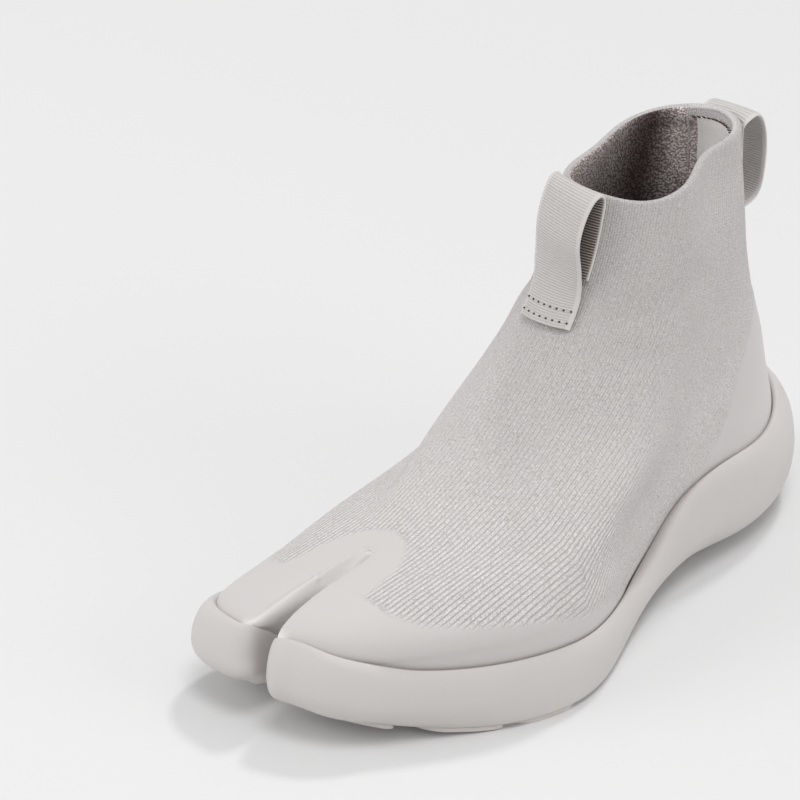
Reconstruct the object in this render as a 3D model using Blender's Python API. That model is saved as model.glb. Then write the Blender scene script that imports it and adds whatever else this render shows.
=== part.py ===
"""Left split-toe sock sneaker: knit upper, foam midsole, rubber pads, insole and two pull loops.

Sizes are in millimetres in a shoe frame: x runs to the outer side of the foot, the station runs
from the back of the heel to the toe, and z runs up from the floor.
"""
import bmesh
import bpy
import numpy as np
from mathutils import Vector
from mathutils.geometry import delaunay_2d_cdt

MM = 0.001
X_CENTRE = 4.3
STATION_CENTRE = 135.4

GAP = 0.3
TRAY_GAP = 0.45
WALL = 2.0
COLLAR_ROLL = 0.7
FILM_STEP = 0.4
FILM_FADE = 3.0


def columns(names, rows):
    """A table as named columns."""
    return {name: np.array([row[i] for row in rows], float) for i, name in enumerate(names)}


# Rings of the upper from the sole to the collar, one row for each ring. Heights and stations are
# given at the back and at the front, and the other columns are x at four shares of the length.
RING_COLUMNS = (
    "z_heel", "z_toe", "s_heel", "s_toe", "heel_lat", "heel_med", "mid_lat", "mid_med", "ball_lat",
    "ball_med", "toe_lat", "toe_med", "tip_lat", "tip_med", "x_toe", "half_gap", "inner_gap", "depth",
)
RINGS = (
    (25, 21, 14.0, 260, 27.0, -26.0, 33.0, -20.0, 51.0, -39.0, 25.0, -39.0, 8.0, -34.0, -14, 4.6, 5, 22),
    (34, 29, 11.0, 266, 30.5, -29.0, 35.0, -22.0, 53.5, -42.0, 28.0, -42.0, 11.0, -38.0, -16, 4.0, 4.5, 30),
    (42, 36, 11.5, 267, 30.5, -29.5, 35.5, -24.0, 52.0, -41.5, 26.0, -39.5, 9.0, -36.0, -16, 3.6, 0.5, 35),
    (51, 42, 14.5, 258, 29.5, -28.5, 35.5, -26.5, 49.0, -38.5, 23.0, -33.0, 8.0, -27.0, -13, 3.8, -0.6, 35),
    (61, 46, 18.0, 239, 28.5, -27.5, 35.5, -28.0, 46.0, -35.0, 24.0, -25.5, 9.0, -19.5, -10, 3.3, -0.4, 20),
    (72, 49.5, 22.0, 218, 27.5, -26.5, 35.0, -29.5, 44.0, -32.5, 26.0, -21.5, 12.0, -16.0, -7, 2.6, 0, 0),
    (83, 56, 26.5, 201, 26.0, -25.5, 34.5, -30.0, 41.5, -31.8, 25.5, -21.6, 12.5, -15.4, -4, 2.6, 0, 0),
    (94, 66, 30.5, 183, 24.5, -24.5, 33.5, -30.0, 37.5, -30.5, 23.5, -21.0, 12.0, -14.4, -2, 2.6, 0, 0),
    (106, 80, 34.0, 163, 22.5, -23.5, 32.0, -29.0, 34.5, -28.0, 21.5, -18.5, 11.5, -12.0, 0, 2.6, 0, 0),
    (117.5, 97, 36.5, 144.5, 20.5, -22.0, 29.5, -27.5, 32.5, -25.5, 20.0, -17.0, 11.0, -11.0, 0, 2.6, 0, 0),
    (129, 115, 37.0, 132, 18.0, -20.5, 25.0, -25.5, 30.0, -21.5, 20.5, -15.5, 11.5, -10.0, 1, 2.6, 0, 0),
    (139.5, 131, 37.0, 125.5, 15.5, -18.5, 20.0, -23.0, 27.5, -18.5, 19.5, -14.0, 11.5, -9.5, 2, 2.6, 0, 0),
    (149, 147, 37.0, 122, 14.0, -17.0, 17.5, -21.0, 25.0, -16.5, 19.0, -13.0, 11.5, -9.0, 2, 2.6, 0, 0),
)
SHARE = {"heel": 0.13, "mid": 0.42, "ball": 0.68, "toe": 0.90, "tip": 0.97}

# Toe cleft: how far across and how deep its edge lies, from the lip to the root.
NOTCH = columns(("along", "across", "depth"), (
    (0.00, 1.90, 0.00),
    (0.12, 1.50, 0.025),
    (0.24, 1.22, 0.085),
    (0.36, 1.07, 0.20),
    (0.50, 1.00, 0.40),
    (0.65, 0.95, 0.64),
    (0.80, 0.80, 0.86),
    (0.91, 0.46, 0.97),
    (1.00, 0.00, 1.00),
))
CLEFT_X = -5.8
CLEFT_STATION = 217.0
CLEFT_SLANT = -0.13
CLEFT_LEVEL = 5.0
CLEFT_THIN_REACH = 12.0
CLEFT_THIN_STATIONS = (205.0, 213.0)
CLEFT_THINNING = 0.75

# Collar: how far it drops at the outer front, where, how wide, and between which levels.
COLLAR_DIP = 3.7
COLLAR_DIP_PLACE = (18.0, 108.0)
COLLAR_DIP_REACH = 17.0
COLLAR_DIP_LEVELS = (8.0, 12.0)

# Top edge of the smooth film that is fused to the knit round the heel and the toe.
FILM_TOP = columns(("station", "height"), (
    (0, 92), (30, 90), (48, 86), (58, 80), (67, 72), (72, 62.5), (78, 53), (86, 46), (92, 40.5), (98, 34),
    (106, 26), (116, 16), (131, 14), (144, 20.5), (158, 25.5), (171, 29.8), (184, 32.8), (201, 36.8),
    (215, 38.5), (225, 39.5), (235, 41.3), (240, 44), (245, 70), (275, 70),
))

# Heights of the tray floor inside the midsole, along the shoe.
TRAY_FLOOR = columns(("station", "height"), (
    (0, 26), (40, 24), (90, 20), (140, 15), (190, 12.5), (225, 13.5), (250, 17), (275, 23),
))
# Underside of the midsole: flat under heel and ball, raised at the arch, the toe and the heel end.
UNDERSIDE = 1.9
TOE_SPRING = 13.0
TOE_SPRING_STATIONS = (206.0, 275.0)
HEEL_BEVEL = 3.0
HEEL_BEVEL_STATION = 36.0
ARCH_RISE = 4.0
ARCH_STATIONS = (76.0, 160.0)

# Side of the midsole at named places round the shoe: the height of its top edge, and how far its
# rolled top, its fullest line and its bottom edge stand out from the upper.
SIDE_COLUMNS = ("top", "roll", "bulge", "bottom")
SIDE = {
    "lip_lat": (36.5, 2.0, 5.0, -3.0),
    "tip_lat": (34.5, 3.5, 7.0, -2.5),
    "toe_lat": (26.5, 3.0, 5.5, 1.5),
    "ball_lat": (22.5, 2.2, 4.4, 4.0),
    "waist_lat": (17.6, 2.0, 3.8, 3.2),
    "mid_lat": (21.3, 2.0, 3.6, 2.5),
    "rise_lat": (32.0, 2.3, 3.8, -1.5),
    "arch_lat": (38.4, 2.8, 4.2, -6.6),
    "quarter_lat": (39.3, 3.3, 5.8, -3.4),
    "heel_lat": (38.5, 3.6, 7.0, -1.0),
    "heel": (44.0, 5.0, 12.0, 7.5),
    "heel_med": (38.5, 3.6, 5.5, 1.0),
    "arch_med": (35.5, 2.6, 3.5, -4.5),
    "mid_med": (32.0, 1.8, 2.0, -4.0),
    "ball_med": (24.5, 2.2, 4.0, -3.5),
    "toe_med": (29.0, 3.5, 6.0, -6.5),
    "tip_med": (34.5, 4.0, 8.5, -7.5),
    "lip_med": (36.5, 2.2, 3.4, -5.5),
    "corner_med": (34.5, 1.2, 1.4, -2.2),
    "wall_med": (23.0, 1.3, 1.5, 0.3),
    "root": (21.5, 1.5, 1.9, 1.0),
    "wall_lat": (24.0, 1.5, 1.9, 1.0),
    "corner_lat": (33.0, 1.3, 2.0, 0.2),
}
# Side wall from the bottom edge to the top edge: the share of the height, and the shares of the
# bottom edge, the fullest line and the rolled top in its offset.
SIDE_WALL = columns(("share", "bottom", "bulge", "roll"), (
    (0.00, 1.00, 0.00, 0.00),
    (0.12, 0.42, 0.58, 0.00),
    (0.30, 0.06, 0.94, 0.00),
    (0.50, 0.00, 1.00, 0.00),
    (0.74, 0.00, 0.70, 0.30),
    (0.92, 0.00, 0.12, 0.88),
    (1.00, 0.00, 0.00, 0.55),
))

INSOLE_THICKNESS = 4.0
PAD_THICKNESS = 1.6
PAD_CORNER = 5.0
# Rubber pads under the midsole: first and last station, region, and distance from its edge.
PADS = {
    "outsole_toe_inner": dict(first=240, last=251, region="inner_lobe", inset=1.5),
    "outsole_toe_outer": dict(first=243, last=257, region="outer_lobe", inset=0.4),
    "outsole_ball_front": dict(first=213.5, last=237, region="whole", inset=0.4),
    "outsole_ball_middle": dict(first=187, last=211.5, region="whole", inset=0.4),
    "outsole_ball_rear": dict(first=160, last=184, region="whole", inset=3.0),
    "outsole_heel": dict(first=14, last=80, region="whole", inset=4.0),
}

STRAP_WIDTH = 20.5
STRAP_THICKNESS = 1.6
STRAP_GAP = 0.5
STRAP_FLATTENING = 0.75
STRAP_CLEAR = 4.0
STRAP_TILT_START = 105.0
STRAP_TILT_RUN = 40.0
# Pull loops: distance of the strap from the upper and its height, from the sewn foot upwards.
FRONT_STRAP = columns(("off", "height"), (
    (0, 104), (0, 107), (0.9, 111), (3.6, 116), (6.9, 123), (9.5, 131), (10.2, 138), (8.5, 144.5),
    (5.6, 148), (2.2, 149.3), (0.5, 147.6), (0, 144.5), (0, 139), (0, 132), (0, 125), (0, 118), (0, 112.5),
))
REAR_STRAP = columns(("off", "height"), (
    (0, 109), (0, 113), (1.4, 115.2), (5.8, 116.2), (10, 119.5), (11.8, 126), (12, 134.5),
    (10.6, 142), (7.4, 147.4), (3.6, 148.8), (0.8, 147.2), (0, 144), (0, 138.5), (0, 133.5),
))
FRONT_TILT = -0.12
FRONT_TWIST = 0.35
PATCH_WIDTH = 18.0
PATCH_X = 4.0
PATCH_THICKNESS = 0.8
PATCH_HEIGHTS = (130.0, 143.5)
PATCH_GAP = 0.5

SEGMENTS = (3, 3, 6, 5, 5, 4, 4, 5, 5, 6, 3, 3)
NOTCH_STEPS = 8
OUTER_ROWS = np.arange(0, 12.01, 0.5)
INNER_ROWS = np.concatenate((np.arange(0, 6.01, 0.5), np.arange(7, 12.01, 1.0)))

GREIGE_KNIT = (0.60, 0.57, 0.55)
GREIGE_FOAM = (0.63, 0.60, 0.58)
GREIGE_WEB = (0.62, 0.59, 0.56)
GREIGE_LINING = (0.42, 0.38, 0.36)


def spline(knots, values, at):
    """Natural cubic through the values at the knots, read at the places in at."""
    knots = np.asarray(knots, float)
    values = np.asarray(values, float)
    at = np.atleast_1d(np.asarray(at, float))
    count = len(knots)
    step = np.diff(knots)
    shape = (-1,) + (1,) * (values.ndim - 1)
    slope = np.diff(values, axis=0) / step.reshape(shape)
    bend = np.eye(count)
    load = np.zeros_like(values)
    for i in range(1, count - 1):
        bend[i, i - 1:i + 2] = (step[i - 1], 2 * (step[i - 1] + step[i]), step[i])
        load[i] = 6 * (slope[i] - slope[i - 1])
    second = np.linalg.solve(bend, load.reshape(count, -1)).reshape(values.shape)
    at = np.clip(at, knots[0], knots[-1])
    i = np.clip(np.searchsorted(knots, at) - 1, 0, count - 2)
    width = step[i].reshape(shape)
    right = ((at - knots[i]) / step[i]).reshape(shape)
    left = 1 - right
    curve = (left ** 3 - left) * second[i] + (right ** 3 - right) * second[i + 1]
    return left * values[i] + right * values[i + 1] + curve * width ** 2 / 6


def height_along(table, station):
    """Height from a station table at one or many stations."""
    heights = spline(table["station"], table["height"], np.ravel(station))
    return heights.reshape(np.shape(station))


def underside_at(station):
    """Height of the midsole's underside along the shoe."""
    station = np.asarray(station, float)
    first, last = TOE_SPRING_STATIONS
    spring = np.clip((station - first) / (last - first), 0, None) ** 2
    bevel = np.clip(1 - station / HEEL_BEVEL_STATION, 0, None) ** 2
    start, end = ARCH_STATIONS
    arch = np.sin(np.pi * np.clip((station - start) / (end - start), 0, 1)) ** 2
    return UNDERSIDE + TOE_SPRING * spring + HEEL_BEVEL * bevel + ARCH_RISE * arch


def ring_values(level):
    """Named values of the ring at a level between 0, the sole, and 12, the collar."""
    values = spline(np.arange(len(RINGS)), np.array(RINGS, float), level)[0]
    return dict(zip(RING_COLUMNS, values))


def cleft_x(station):
    return CLEFT_X + CLEFT_SLANT * (station - CLEFT_STATION)


def ring_plan(ring):
    """Knots and points of the ring without its cleft, from the toe round by the outer side."""
    length = ring["s_toe"] - ring["s_heel"]
    station = {name: ring["s_heel"] + share * length for name, share in SHARE.items()}
    heel_x = 0.5 * (ring["heel_lat"] + ring["heel_med"])
    points = [(ring["x_toe"], ring["s_toe"])]
    points += [(ring[name + "_lat"], station[name]) for name in ("tip", "toe", "ball", "mid", "heel")]
    points += [(heel_x, ring["s_heel"])]
    points += [(ring[name + "_med"], station[name]) for name in ("heel", "mid", "ball", "toe", "tip")]
    points = np.array(points)
    chord = np.linalg.norm(np.roll(points, -1, axis=0) - points, axis=1)
    knots = np.concatenate(((0,), np.cumsum(chord)))
    wrap = 4
    total = knots[-1]
    long_knots = np.concatenate((knots[-wrap - 1:-1] - total, knots, knots[1:wrap + 1] + total))
    closed = np.concatenate((points, points[:1]))
    long_points = np.concatenate((points[-wrap:], closed, points[1:wrap + 1]))
    return knots, long_knots, long_points


def notch_curve(steps):
    """Across and depth shares of the cleft edge, without its two lips, from outer to inner side."""
    along = np.linspace(0, 1, steps + 1)
    half = spline(NOTCH["along"], np.column_stack((NOTCH["across"], NOTCH["depth"])), along)
    half[:, 1] = np.clip(half[:, 1], 0, 1)
    other = half[-2::-1] * (-1, 1)
    return np.concatenate((half, other))[1:-1]


def collar_dip(plan, level):
    """How far the rings near the collar drop at the outer front."""
    first, last = COLLAR_DIP_LEVELS
    away = np.sum((plan - COLLAR_DIP_PLACE) ** 2, axis=1)
    share = smooth_step((level - first) / (last - first))
    return COLLAR_DIP * share * np.exp(-away / COLLAR_DIP_REACH ** 2)


def ring_points(level, segments=SEGMENTS, notch_steps=NOTCH_STEPS):
    """Points of one ring of the upper's outer face, from the outer lip round to the cleft."""
    ring = ring_values(level)
    knots, long_knots, long_points = ring_plan(ring)
    half_gap = ring["half_gap"]
    depth = max(ring["depth"], 0.0)
    total = knots[-1]
    front = np.linspace(knots[-2], total + knots[1], 161)
    front_x = spline(long_knots, long_points, front)[:, 0]
    above = smooth_step((level - CLEFT_LEVEL) / 2)
    centre = (1 - above) * cleft_x(ring["s_toe"]) + above * ring["x_toe"]
    lip = NOTCH["across"][0] * half_gap
    start = np.interp(centre + lip, front_x, front) - total
    end = np.interp(centre - lip - ring["inner_gap"], front_x, front)
    stops = np.concatenate(((start,), knots[1:-1], (end,)))
    along = [np.linspace(a, b, n, endpoint=False) for a, b, n in zip(stops, stops[1:], segments)]
    main = spline(long_knots, long_points, np.concatenate(along + [np.array([end])]))
    across, deep = notch_curve(notch_steps)[::-1].T
    across = half_gap * across - ring["inner_gap"] * smooth_step(0.5 - across)
    place = np.interp(centre + across, front_x, front)
    notch = spline(long_knots, long_points, place)
    notch[:, 1] -= depth * deep
    notch[:, 0] = centre + CLEFT_SLANT * (notch[:, 1] - ring["s_toe"]) + across
    plan = np.concatenate((main, notch))
    share = (plan[:, 1] - ring["s_heel"]) / (ring["s_toe"] - ring["s_heel"])
    height = ring["z_heel"] + (ring["z_toe"] - ring["z_heel"]) * np.clip(share, 0, 1)
    seat = max(0.0, 1.0 - level)
    floor = height_along(TRAY_FLOOR, plan[:, 1]) + GAP
    height = (1 - seat) * height + seat * floor
    return np.column_stack((plan, height - collar_dip(plan, level)))


def grid_normals(grid):
    """Outward normals of a grid of rings, in the shoe frame."""
    along = np.roll(grid, -1, axis=1) - np.roll(grid, 1, axis=1)
    up = np.gradient(grid, axis=0)
    normal = np.cross(up, along)
    return normal / np.linalg.norm(normal, axis=2, keepdims=True)


def upper_grid(rows):
    """Rings of the knit's outer face at the given levels."""
    return np.stack([ring_points(level) for level in rows])


def outer_grid(rows):
    """Rings of the upper's outer face: the knit with the film's step on it."""
    grid = upper_grid(rows)
    top = np.interp(grid[:, :, 1], FILM_TOP["station"], FILM_TOP["height"])
    film = FILM_STEP * smooth_step((top - grid[:, :, 2]) / FILM_FADE)
    return grid + grid_normals(grid) * film[:, :, None]


def inner_grid(rows):
    """Rings of the upper's inner face, with a thinner wall round the toe cleft."""
    grid = upper_grid(rows)
    near = np.exp(-((grid[:, :, 0] - cleft_x(grid[:, :, 1])) / CLEFT_THIN_REACH) ** 2)
    first, last = CLEFT_THIN_STATIONS
    thin = 1 - CLEFT_THINNING * near * smooth_step((grid[:, :, 1] - first) / (last - first))
    return grid - grid_normals(grid) * (thin * collar_wall(rows, grid))[:, :, None]


def smooth_step(value):
    value = np.clip(value, 0, 1)
    return value * value * (3 - 2 * value)


def collar_wall(rows, grid):
    """Wall thickness of the upper, fuller at the rolled collar and most at its back."""
    rows = np.asarray(rows)[:, None]
    roll = smooth_step((rows - 11.3) / 0.5)
    back = smooth_step((60 - grid[:, :, 1]) / 15)
    return WALL + COLLAR_ROLL * roll * (1 + back)


def to_world(points):
    points = np.asarray(points, float)
    x = points[:, 0] - X_CENTRE
    y = STATION_CENTRE - points[:, 1]
    return np.column_stack((x, y, points[:, 2])) * MM


def material(name, colour, roughness):
    shader_material = bpy.data.materials.new(name)
    shader_material.use_nodes = True
    shader = shader_material.node_tree.nodes["Principled BSDF"]
    shader.inputs["Base Color"].default_value = (*colour, 1.0)
    shader.inputs["Roughness"].default_value = roughness
    shader.inputs["Metallic"].default_value = 0.0
    return shader_material


def make_object(name, points, faces, shader_material, sharp_angle=0.7):
    """One closed named object from points in the shoe frame."""
    mesh = bpy.data.meshes.new(name)
    mesh.from_pydata([tuple(point) for point in to_world(points)], [], faces)
    work = bmesh.new()
    work.from_mesh(mesh)
    bmesh.ops.triangulate(work, faces=work.faces[:])
    bmesh.ops.recalc_face_normals(work, faces=work.faces[:])
    work.to_mesh(mesh)
    work.free()
    mesh.shade_smooth()
    mesh.set_sharp_from_angle(angle=sharp_angle)
    mesh.materials.append(shader_material)
    thing = bpy.data.objects.new(name, mesh)
    bpy.context.collection.objects.link(thing)
    return thing


def bridge(first, second, count):
    """Quads between two closed rings of vertices that start at the given indexes."""
    return [
        (first + i, first + (i + 1) % count, second + (i + 1) % count, second + i)
        for i in range(count)
    ]


def ring_faces(ring_count, count, closed):
    faces = []
    last = ring_count if closed else ring_count - 1
    for row in range(last):
        faces += bridge(row * count, (row + 1) % ring_count * count, count)
    return faces


def inside(outline, points):
    """Which plan points lie inside a closed plan outline."""
    ahead = np.roll(outline, -1, axis=0)
    result = np.zeros(len(points), bool)
    for (x0, s0), (x1, s1) in zip(outline, ahead):
        crosses = (s0 > points[:, 1]) != (s1 > points[:, 1])
        reach = x0 + (points[:, 1] - s0) * (x1 - x0) / (s1 - s0 + 1e-12)
        result ^= crosses & (points[:, 0] < reach)
    return result


def cap(outline, first, next_index, spacing):
    """Triangles over a closed plan outline, with plan points added inside it."""
    low = outline.min(axis=0)
    high = outline.max(axis=0)
    columns = np.arange(low[0] + 0.5 * spacing, high[0], spacing)
    stations = np.arange(low[1] + 0.5 * spacing, high[1], spacing)
    spread = np.array([(x, s) for s in stations for x in columns])
    spread = spread[inside(outline, spread)]
    reach = np.linalg.norm(spread[:, None] - outline[None], axis=2).min(axis=1)
    spread = spread[reach > 0.45 * spacing]
    count = len(outline)
    places = [Vector(point) for point in np.concatenate((outline, spread))]
    edges = [(i, (i + 1) % count) for i in range(count)]
    triangles, origins = delaunay_2d_cdt(places, edges, [], 1, 1e-6)[2:4]
    index = [first + o[0] if o[0] < count else next_index + o[0] - count for o in origins]
    return spread, [tuple(index[corner] for corner in face) for face in triangles]


class Shoe:
    """The outer face of the upper and what is read from it."""

    def __init__(self):
        self.grid = outer_grid(np.arange(0, 12.01, 0.125))
        self.inner = inner_grid(INNER_ROWS)
        self.count = self.grid.shape[1]
        main = np.concatenate(((0,), np.cumsum(SEGMENTS)))
        names = ("lip_lat", "tip_lat", "toe_lat", "ball_lat", "mid_lat", "heel_lat", "heel",
                 "heel_med", "mid_med", "ball_med", "toe_med", "tip_med", "lip_med")
        self.place = dict(zip(names, main))
        self.place["waist_lat"] = self.place["mid_lat"] - 2
        self.place["rise_lat"] = self.place["mid_lat"] + 1
        self.place["arch_lat"] = self.place["mid_lat"] + 2
        self.place["quarter_lat"] = self.place["heel_lat"] - 1
        self.place["arch_med"] = (self.place["mid_med"] + self.place["heel_med"] + 1) // 2
        self.place["root"] = main[-1] + NOTCH_STEPS
        self.place["wall_med"] = main[-1] + NOTCH_STEPS // 2 + 1
        self.place["wall_lat"] = self.count - NOTCH_STEPS // 2 - 1
        self.place["corner_med"] = main[-1] + NOTCH_STEPS // 4
        self.place["corner_lat"] = self.count - NOTCH_STEPS // 4

    def ring_at(self, height):
        """Plan points of the outer face at a height for each column."""
        height = np.broadcast_to(height, (self.count,))
        ring = np.empty((self.count, 2))
        for i in range(self.count):
            line = self.grid[:, i]
            ring[i, 0] = np.interp(height[i], line[:, 2], line[:, 0])
            ring[i, 1] = np.interp(height[i], line[:, 2], line[:, 1])
        return ring

    def station_at(self, surface, across, height, columns):
        """Station of a face of the upper at an x and a height, over the columns given in x order."""
        line = surface[:, columns]
        xs = [np.interp(height, line[:, i, 2], line[:, i, 0]) for i in range(len(columns))]
        stations = [np.interp(height, line[:, i, 2], line[:, i, 1]) for i in range(len(columns))]
        return np.interp(across, xs, stations)

    def front_columns(self):
        inner = range(self.place["toe_med"], self.count)
        outer = range(0, self.place["toe_lat"] + 1)
        return list(inner) + list(outer)

    def back_columns(self):
        return list(range(self.place["mid_med"], self.place["mid_lat"] - 1, -1))


def plan_normals(ring):
    along = np.roll(ring, -1, axis=0) - np.roll(ring, 1, axis=0)
    normal = np.column_stack((-along[:, 1], along[:, 0]))
    return normal / np.linalg.norm(normal, axis=1, keepdims=True)


def offset_ring(ring, distance, steps=12, ease=0.25):
    """A closed plan ring moved outwards in small steps, eased where it closes up on itself."""
    distance = np.broadcast_to(distance, (len(ring),))[:, None]
    for _ in range(steps):
        normal = plan_normals(ring)
        ring = ring + normal * distance / steps
        middle = 0.5 * (np.roll(ring, 1, axis=0) + np.roll(ring, -1, axis=0))
        turn = np.sum((middle - ring) * normal, axis=1, keepdims=True)
        ring = np.where(turn * distance > 0, ring + ease * (middle - ring), ring)
    return ring


def side_values(shoe):
    """Top height and the three offsets of the midsole's side at every column."""
    order = sorted(SIDE, key=lambda name: shoe.place[name])
    knots = [shoe.place[name] for name in order]
    values = [SIDE[name] for name in order]
    knots = [knots[-1] - shoe.count] + knots + [knots[0] + shoe.count]
    values = [values[-1]] + values + [values[0]]
    return dict(zip(SIDE_COLUMNS, spline(knots, values, np.arange(shoe.count)).T))


def make_upper(shoe, knit):
    outer = outer_grid(OUTER_ROWS)
    inner = inner_grid(INNER_ROWS)
    inner[0, :, 2] = outer[0, :, 2]
    inner[-1, :, 2] = outer[-1, :, 2]
    crown = 0.5 * (outer[-1] + inner[-1])
    crown[:, 2] += 0.5 * WALL
    rings = np.concatenate((outer, crown[None], inner[::-1]))
    faces = ring_faces(len(rings), shoe.count, closed=True)
    make_object("upper", rings.reshape(-1, 3), faces, knit)


def make_midsole(shoe, foam):
    side = side_values(shoe)
    top = side["top"]
    wall = shoe.ring_at(top)
    underside = underside_at(offset_ring(wall, side["bottom"])[:, 1])
    rings = []
    for i, share in enumerate(SIDE_WALL["share"]):
        offset = sum(SIDE_WALL[name][i] * side[name] for name in ("bottom", "bulge", "roll"))
        height = underside + share * (top - underside)
        rings.append(np.column_stack((offset_ring(wall, offset), height)))
    floor = height_along(TRAY_FLOOR, shoe.grid[0, :, 1])
    for share in (0.96, 0.77, 0.58, 0.39, 0.2, 0.0):
        height = floor + share * (top - floor)
        ring = shoe.ring_at(np.maximum(height, shoe.grid[0, :, 2]))
        ring = ring + plan_normals(ring) * TRAY_GAP
        rings.append(np.column_stack((ring, height)))
    count = shoe.count
    points = np.concatenate(rings)
    faces = ring_faces(len(rings), count, closed=False)
    under, under_faces = cap(rings[0][:, :2], 0, len(points), 18.0)
    points = np.concatenate((points, np.column_stack((under, underside_at(under[:, 1])))))
    last = (len(rings) - 1) * count
    seat, seat_faces = cap(rings[-1][:, :2], last, len(points), 18.0)
    points = np.concatenate((points, np.column_stack((seat, height_along(TRAY_FLOOR, seat[:, 1])))))
    make_object("midsole", points, faces + under_faces + seat_faces, foam)
    return rings[0]


def make_insole(shoe, lining):
    plan = offset_ring(shoe.grid[0, :, :2], -(FILM_STEP + WALL + 3 * GAP), ease=0.35)
    low = np.column_stack((plan, height_along(TRAY_FLOOR, plan[:, 1]) + GAP))
    high = low + (0, 0, INSOLE_THICKNESS)
    count = shoe.count
    points = np.concatenate((low, high))
    faces = ring_faces(2, count, closed=False)
    for first, lift in ((0, GAP), (count, GAP + INSOLE_THICKNESS)):
        spread, cover = cap(plan, first, len(points), 18.0)
        heights = height_along(TRAY_FLOOR, spread[:, 1]) + lift
        points = np.concatenate((points, np.column_stack((spread, heights))))
        faces += cover
    make_object("insole", points, faces, lining)


def edge_at(ring, columns, station):
    """x of a plan ring at a station, over columns whose stations fall or rise steadily."""
    line = ring[columns]
    line = line[np.argsort(line[:, 1])]
    return np.interp(station, line[:, 1], line[:, 0])


def make_pads(shoe, foot, rubber):
    """Rubber pads that follow the underside and the edge of the midsole's foot ring."""
    place = shoe.place
    outer = list(range(place["lip_lat"], place["heel"] + 1))
    inner = list(range(place["heel"], place["lip_med"] + 1))
    cleft_inner = list(range(place["lip_med"], place["root"] + 1))
    cleft_outer = list(range(place["root"], shoe.count)) + [0]
    sides = {
        "whole": (inner, outer),
        "inner_lobe": (inner, cleft_inner),
        "outer_lobe": (cleft_outer, outer),
    }
    for name, pad in PADS.items():
        first = pad["first"]
        last = pad["last"]
        low_columns, high_columns = sides[pad["region"]]
        stations = first + (last - first) * (0.5 - 0.5 * np.cos(np.linspace(0, np.pi, 9)))
        end = np.clip(PAD_CORNER - np.minimum(stations - first, last - stations), 0, None)
        corner = pad["inset"] + PAD_CORNER - np.sqrt(PAD_CORNER ** 2 - end ** 2) * 0.999
        low = edge_at(foot, low_columns, stations) + corner
        high = edge_at(foot, high_columns, stations) - corner
        across = np.linspace(0, 1, 5)
        x = low[:, None] + (high - low)[:, None] * across
        station = np.broadcast_to(stations[:, None], x.shape)
        top = underside_at(station) - GAP
        upper_face = np.stack((x, station, top), axis=2)
        lower_face = upper_face - (0, 0, PAD_THICKNESS)
        loops = np.concatenate((upper_face, lower_face[:, ::-1]), axis=1)
        count = loops.shape[1]
        faces = ring_faces(len(loops), count, closed=False) + end_faces(len(loops), count)
        make_object(name, loops.reshape(-1, 3), faces, rubber)


def end_faces(ring_count, count):
    """Strips of quads that close both ends of a flat tube of rings."""
    faces = []
    for first in (0, (ring_count - 1) * count):
        for i in range(count // 2 - 1):
            faces.append((first + i, first + i + 1, first + count - 2 - i, first + count - 1 - i))
    return faces


def make_strap(name, shoe, table, columns, side, tilt, twist, webbing):
    """A strap of webbing that leaves the upper, folds over and comes back to it."""
    knots = np.arange(len(table["off"]))
    along = np.linspace(0, knots[-1], 2 * len(knots))
    off = np.clip(spline(knots, table["off"], along), 0, None)
    rise = spline(knots, table["height"], along)
    across = np.linspace(-0.5, 0.5, 5) * STRAP_WIDTH
    middle = STRAP_GAP + 0.5 * STRAP_THICKNESS
    curl = 1 - STRAP_FLATTENING * smooth_step(off / STRAP_CLEAR)
    level = np.array([shoe.station_at(shoe.grid, 0, z, columns) for z in rise])
    front = []
    back = []
    for x in across:
        height = rise + tilt * x * smooth_step((rise - STRAP_TILT_START) / STRAP_TILT_RUN)
        seat = np.array([shoe.station_at(shoe.grid, x, z, columns) for z in height])
        above = np.array([shoe.station_at(shoe.grid, x, z + 1, columns) for z in height])
        beside = np.array([shoe.station_at(shoe.grid, x - np.sign(x), z, columns) for z in height])
        lean = np.sqrt(1 + (above - seat) ** 2 + (beside - seat) ** 2)
        spread = 1 - twist * (0.5 - x / STRAP_WIDTH)
        station = level + (seat - level) * curl + side * (middle * lean + off * spread)
        centre = np.column_stack((station, height))
        direction = np.gradient(centre, axis=0)
        direction /= np.linalg.norm(direction, axis=1, keepdims=True)
        normal = np.column_stack((direction[:, 1], -direction[:, 0])) * side
        for line, share in ((front, 0.5), (back, -0.5)):
            edge = centre + normal * share * STRAP_THICKNESS
            line.append(np.column_stack((np.full(len(edge), x), edge)))
    loops = np.stack(front + back[::-1], axis=1)
    count = loops.shape[1]
    faces = ring_faces(len(loops), count, closed=False) + end_faces(len(loops), count)
    make_object(name, loops.reshape(-1, 3), faces, webbing)


def make_patch(shoe, webbing):
    """Flat end of the rear strap inside the back of the collar."""
    columns = shoe.back_columns()
    heights = np.linspace(*PATCH_HEIGHTS, 4)
    across = PATCH_X + np.linspace(-0.5, 0.5, 7) * PATCH_WIDTH
    seat = np.array([[shoe.station_at(shoe.inner, x, z, columns) for x in across] for z in heights])
    x = np.broadcast_to(across, seat.shape)
    z = np.broadcast_to(heights[:, None], seat.shape)
    rear = np.stack((x, seat + PATCH_GAP, z), axis=2)
    loops = np.concatenate((rear, rear[:, ::-1] + (0, PATCH_THICKNESS, 0)), axis=1)
    count = loops.shape[1]
    faces = ring_faces(len(loops), count, closed=False) + end_faces(len(loops), count)
    make_object("collar_patch", loops.reshape(-1, 3), faces, webbing)


def clear_scene():
    for thing in list(bpy.data.objects):
        bpy.data.objects.remove(thing, do_unlink=True)


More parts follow.
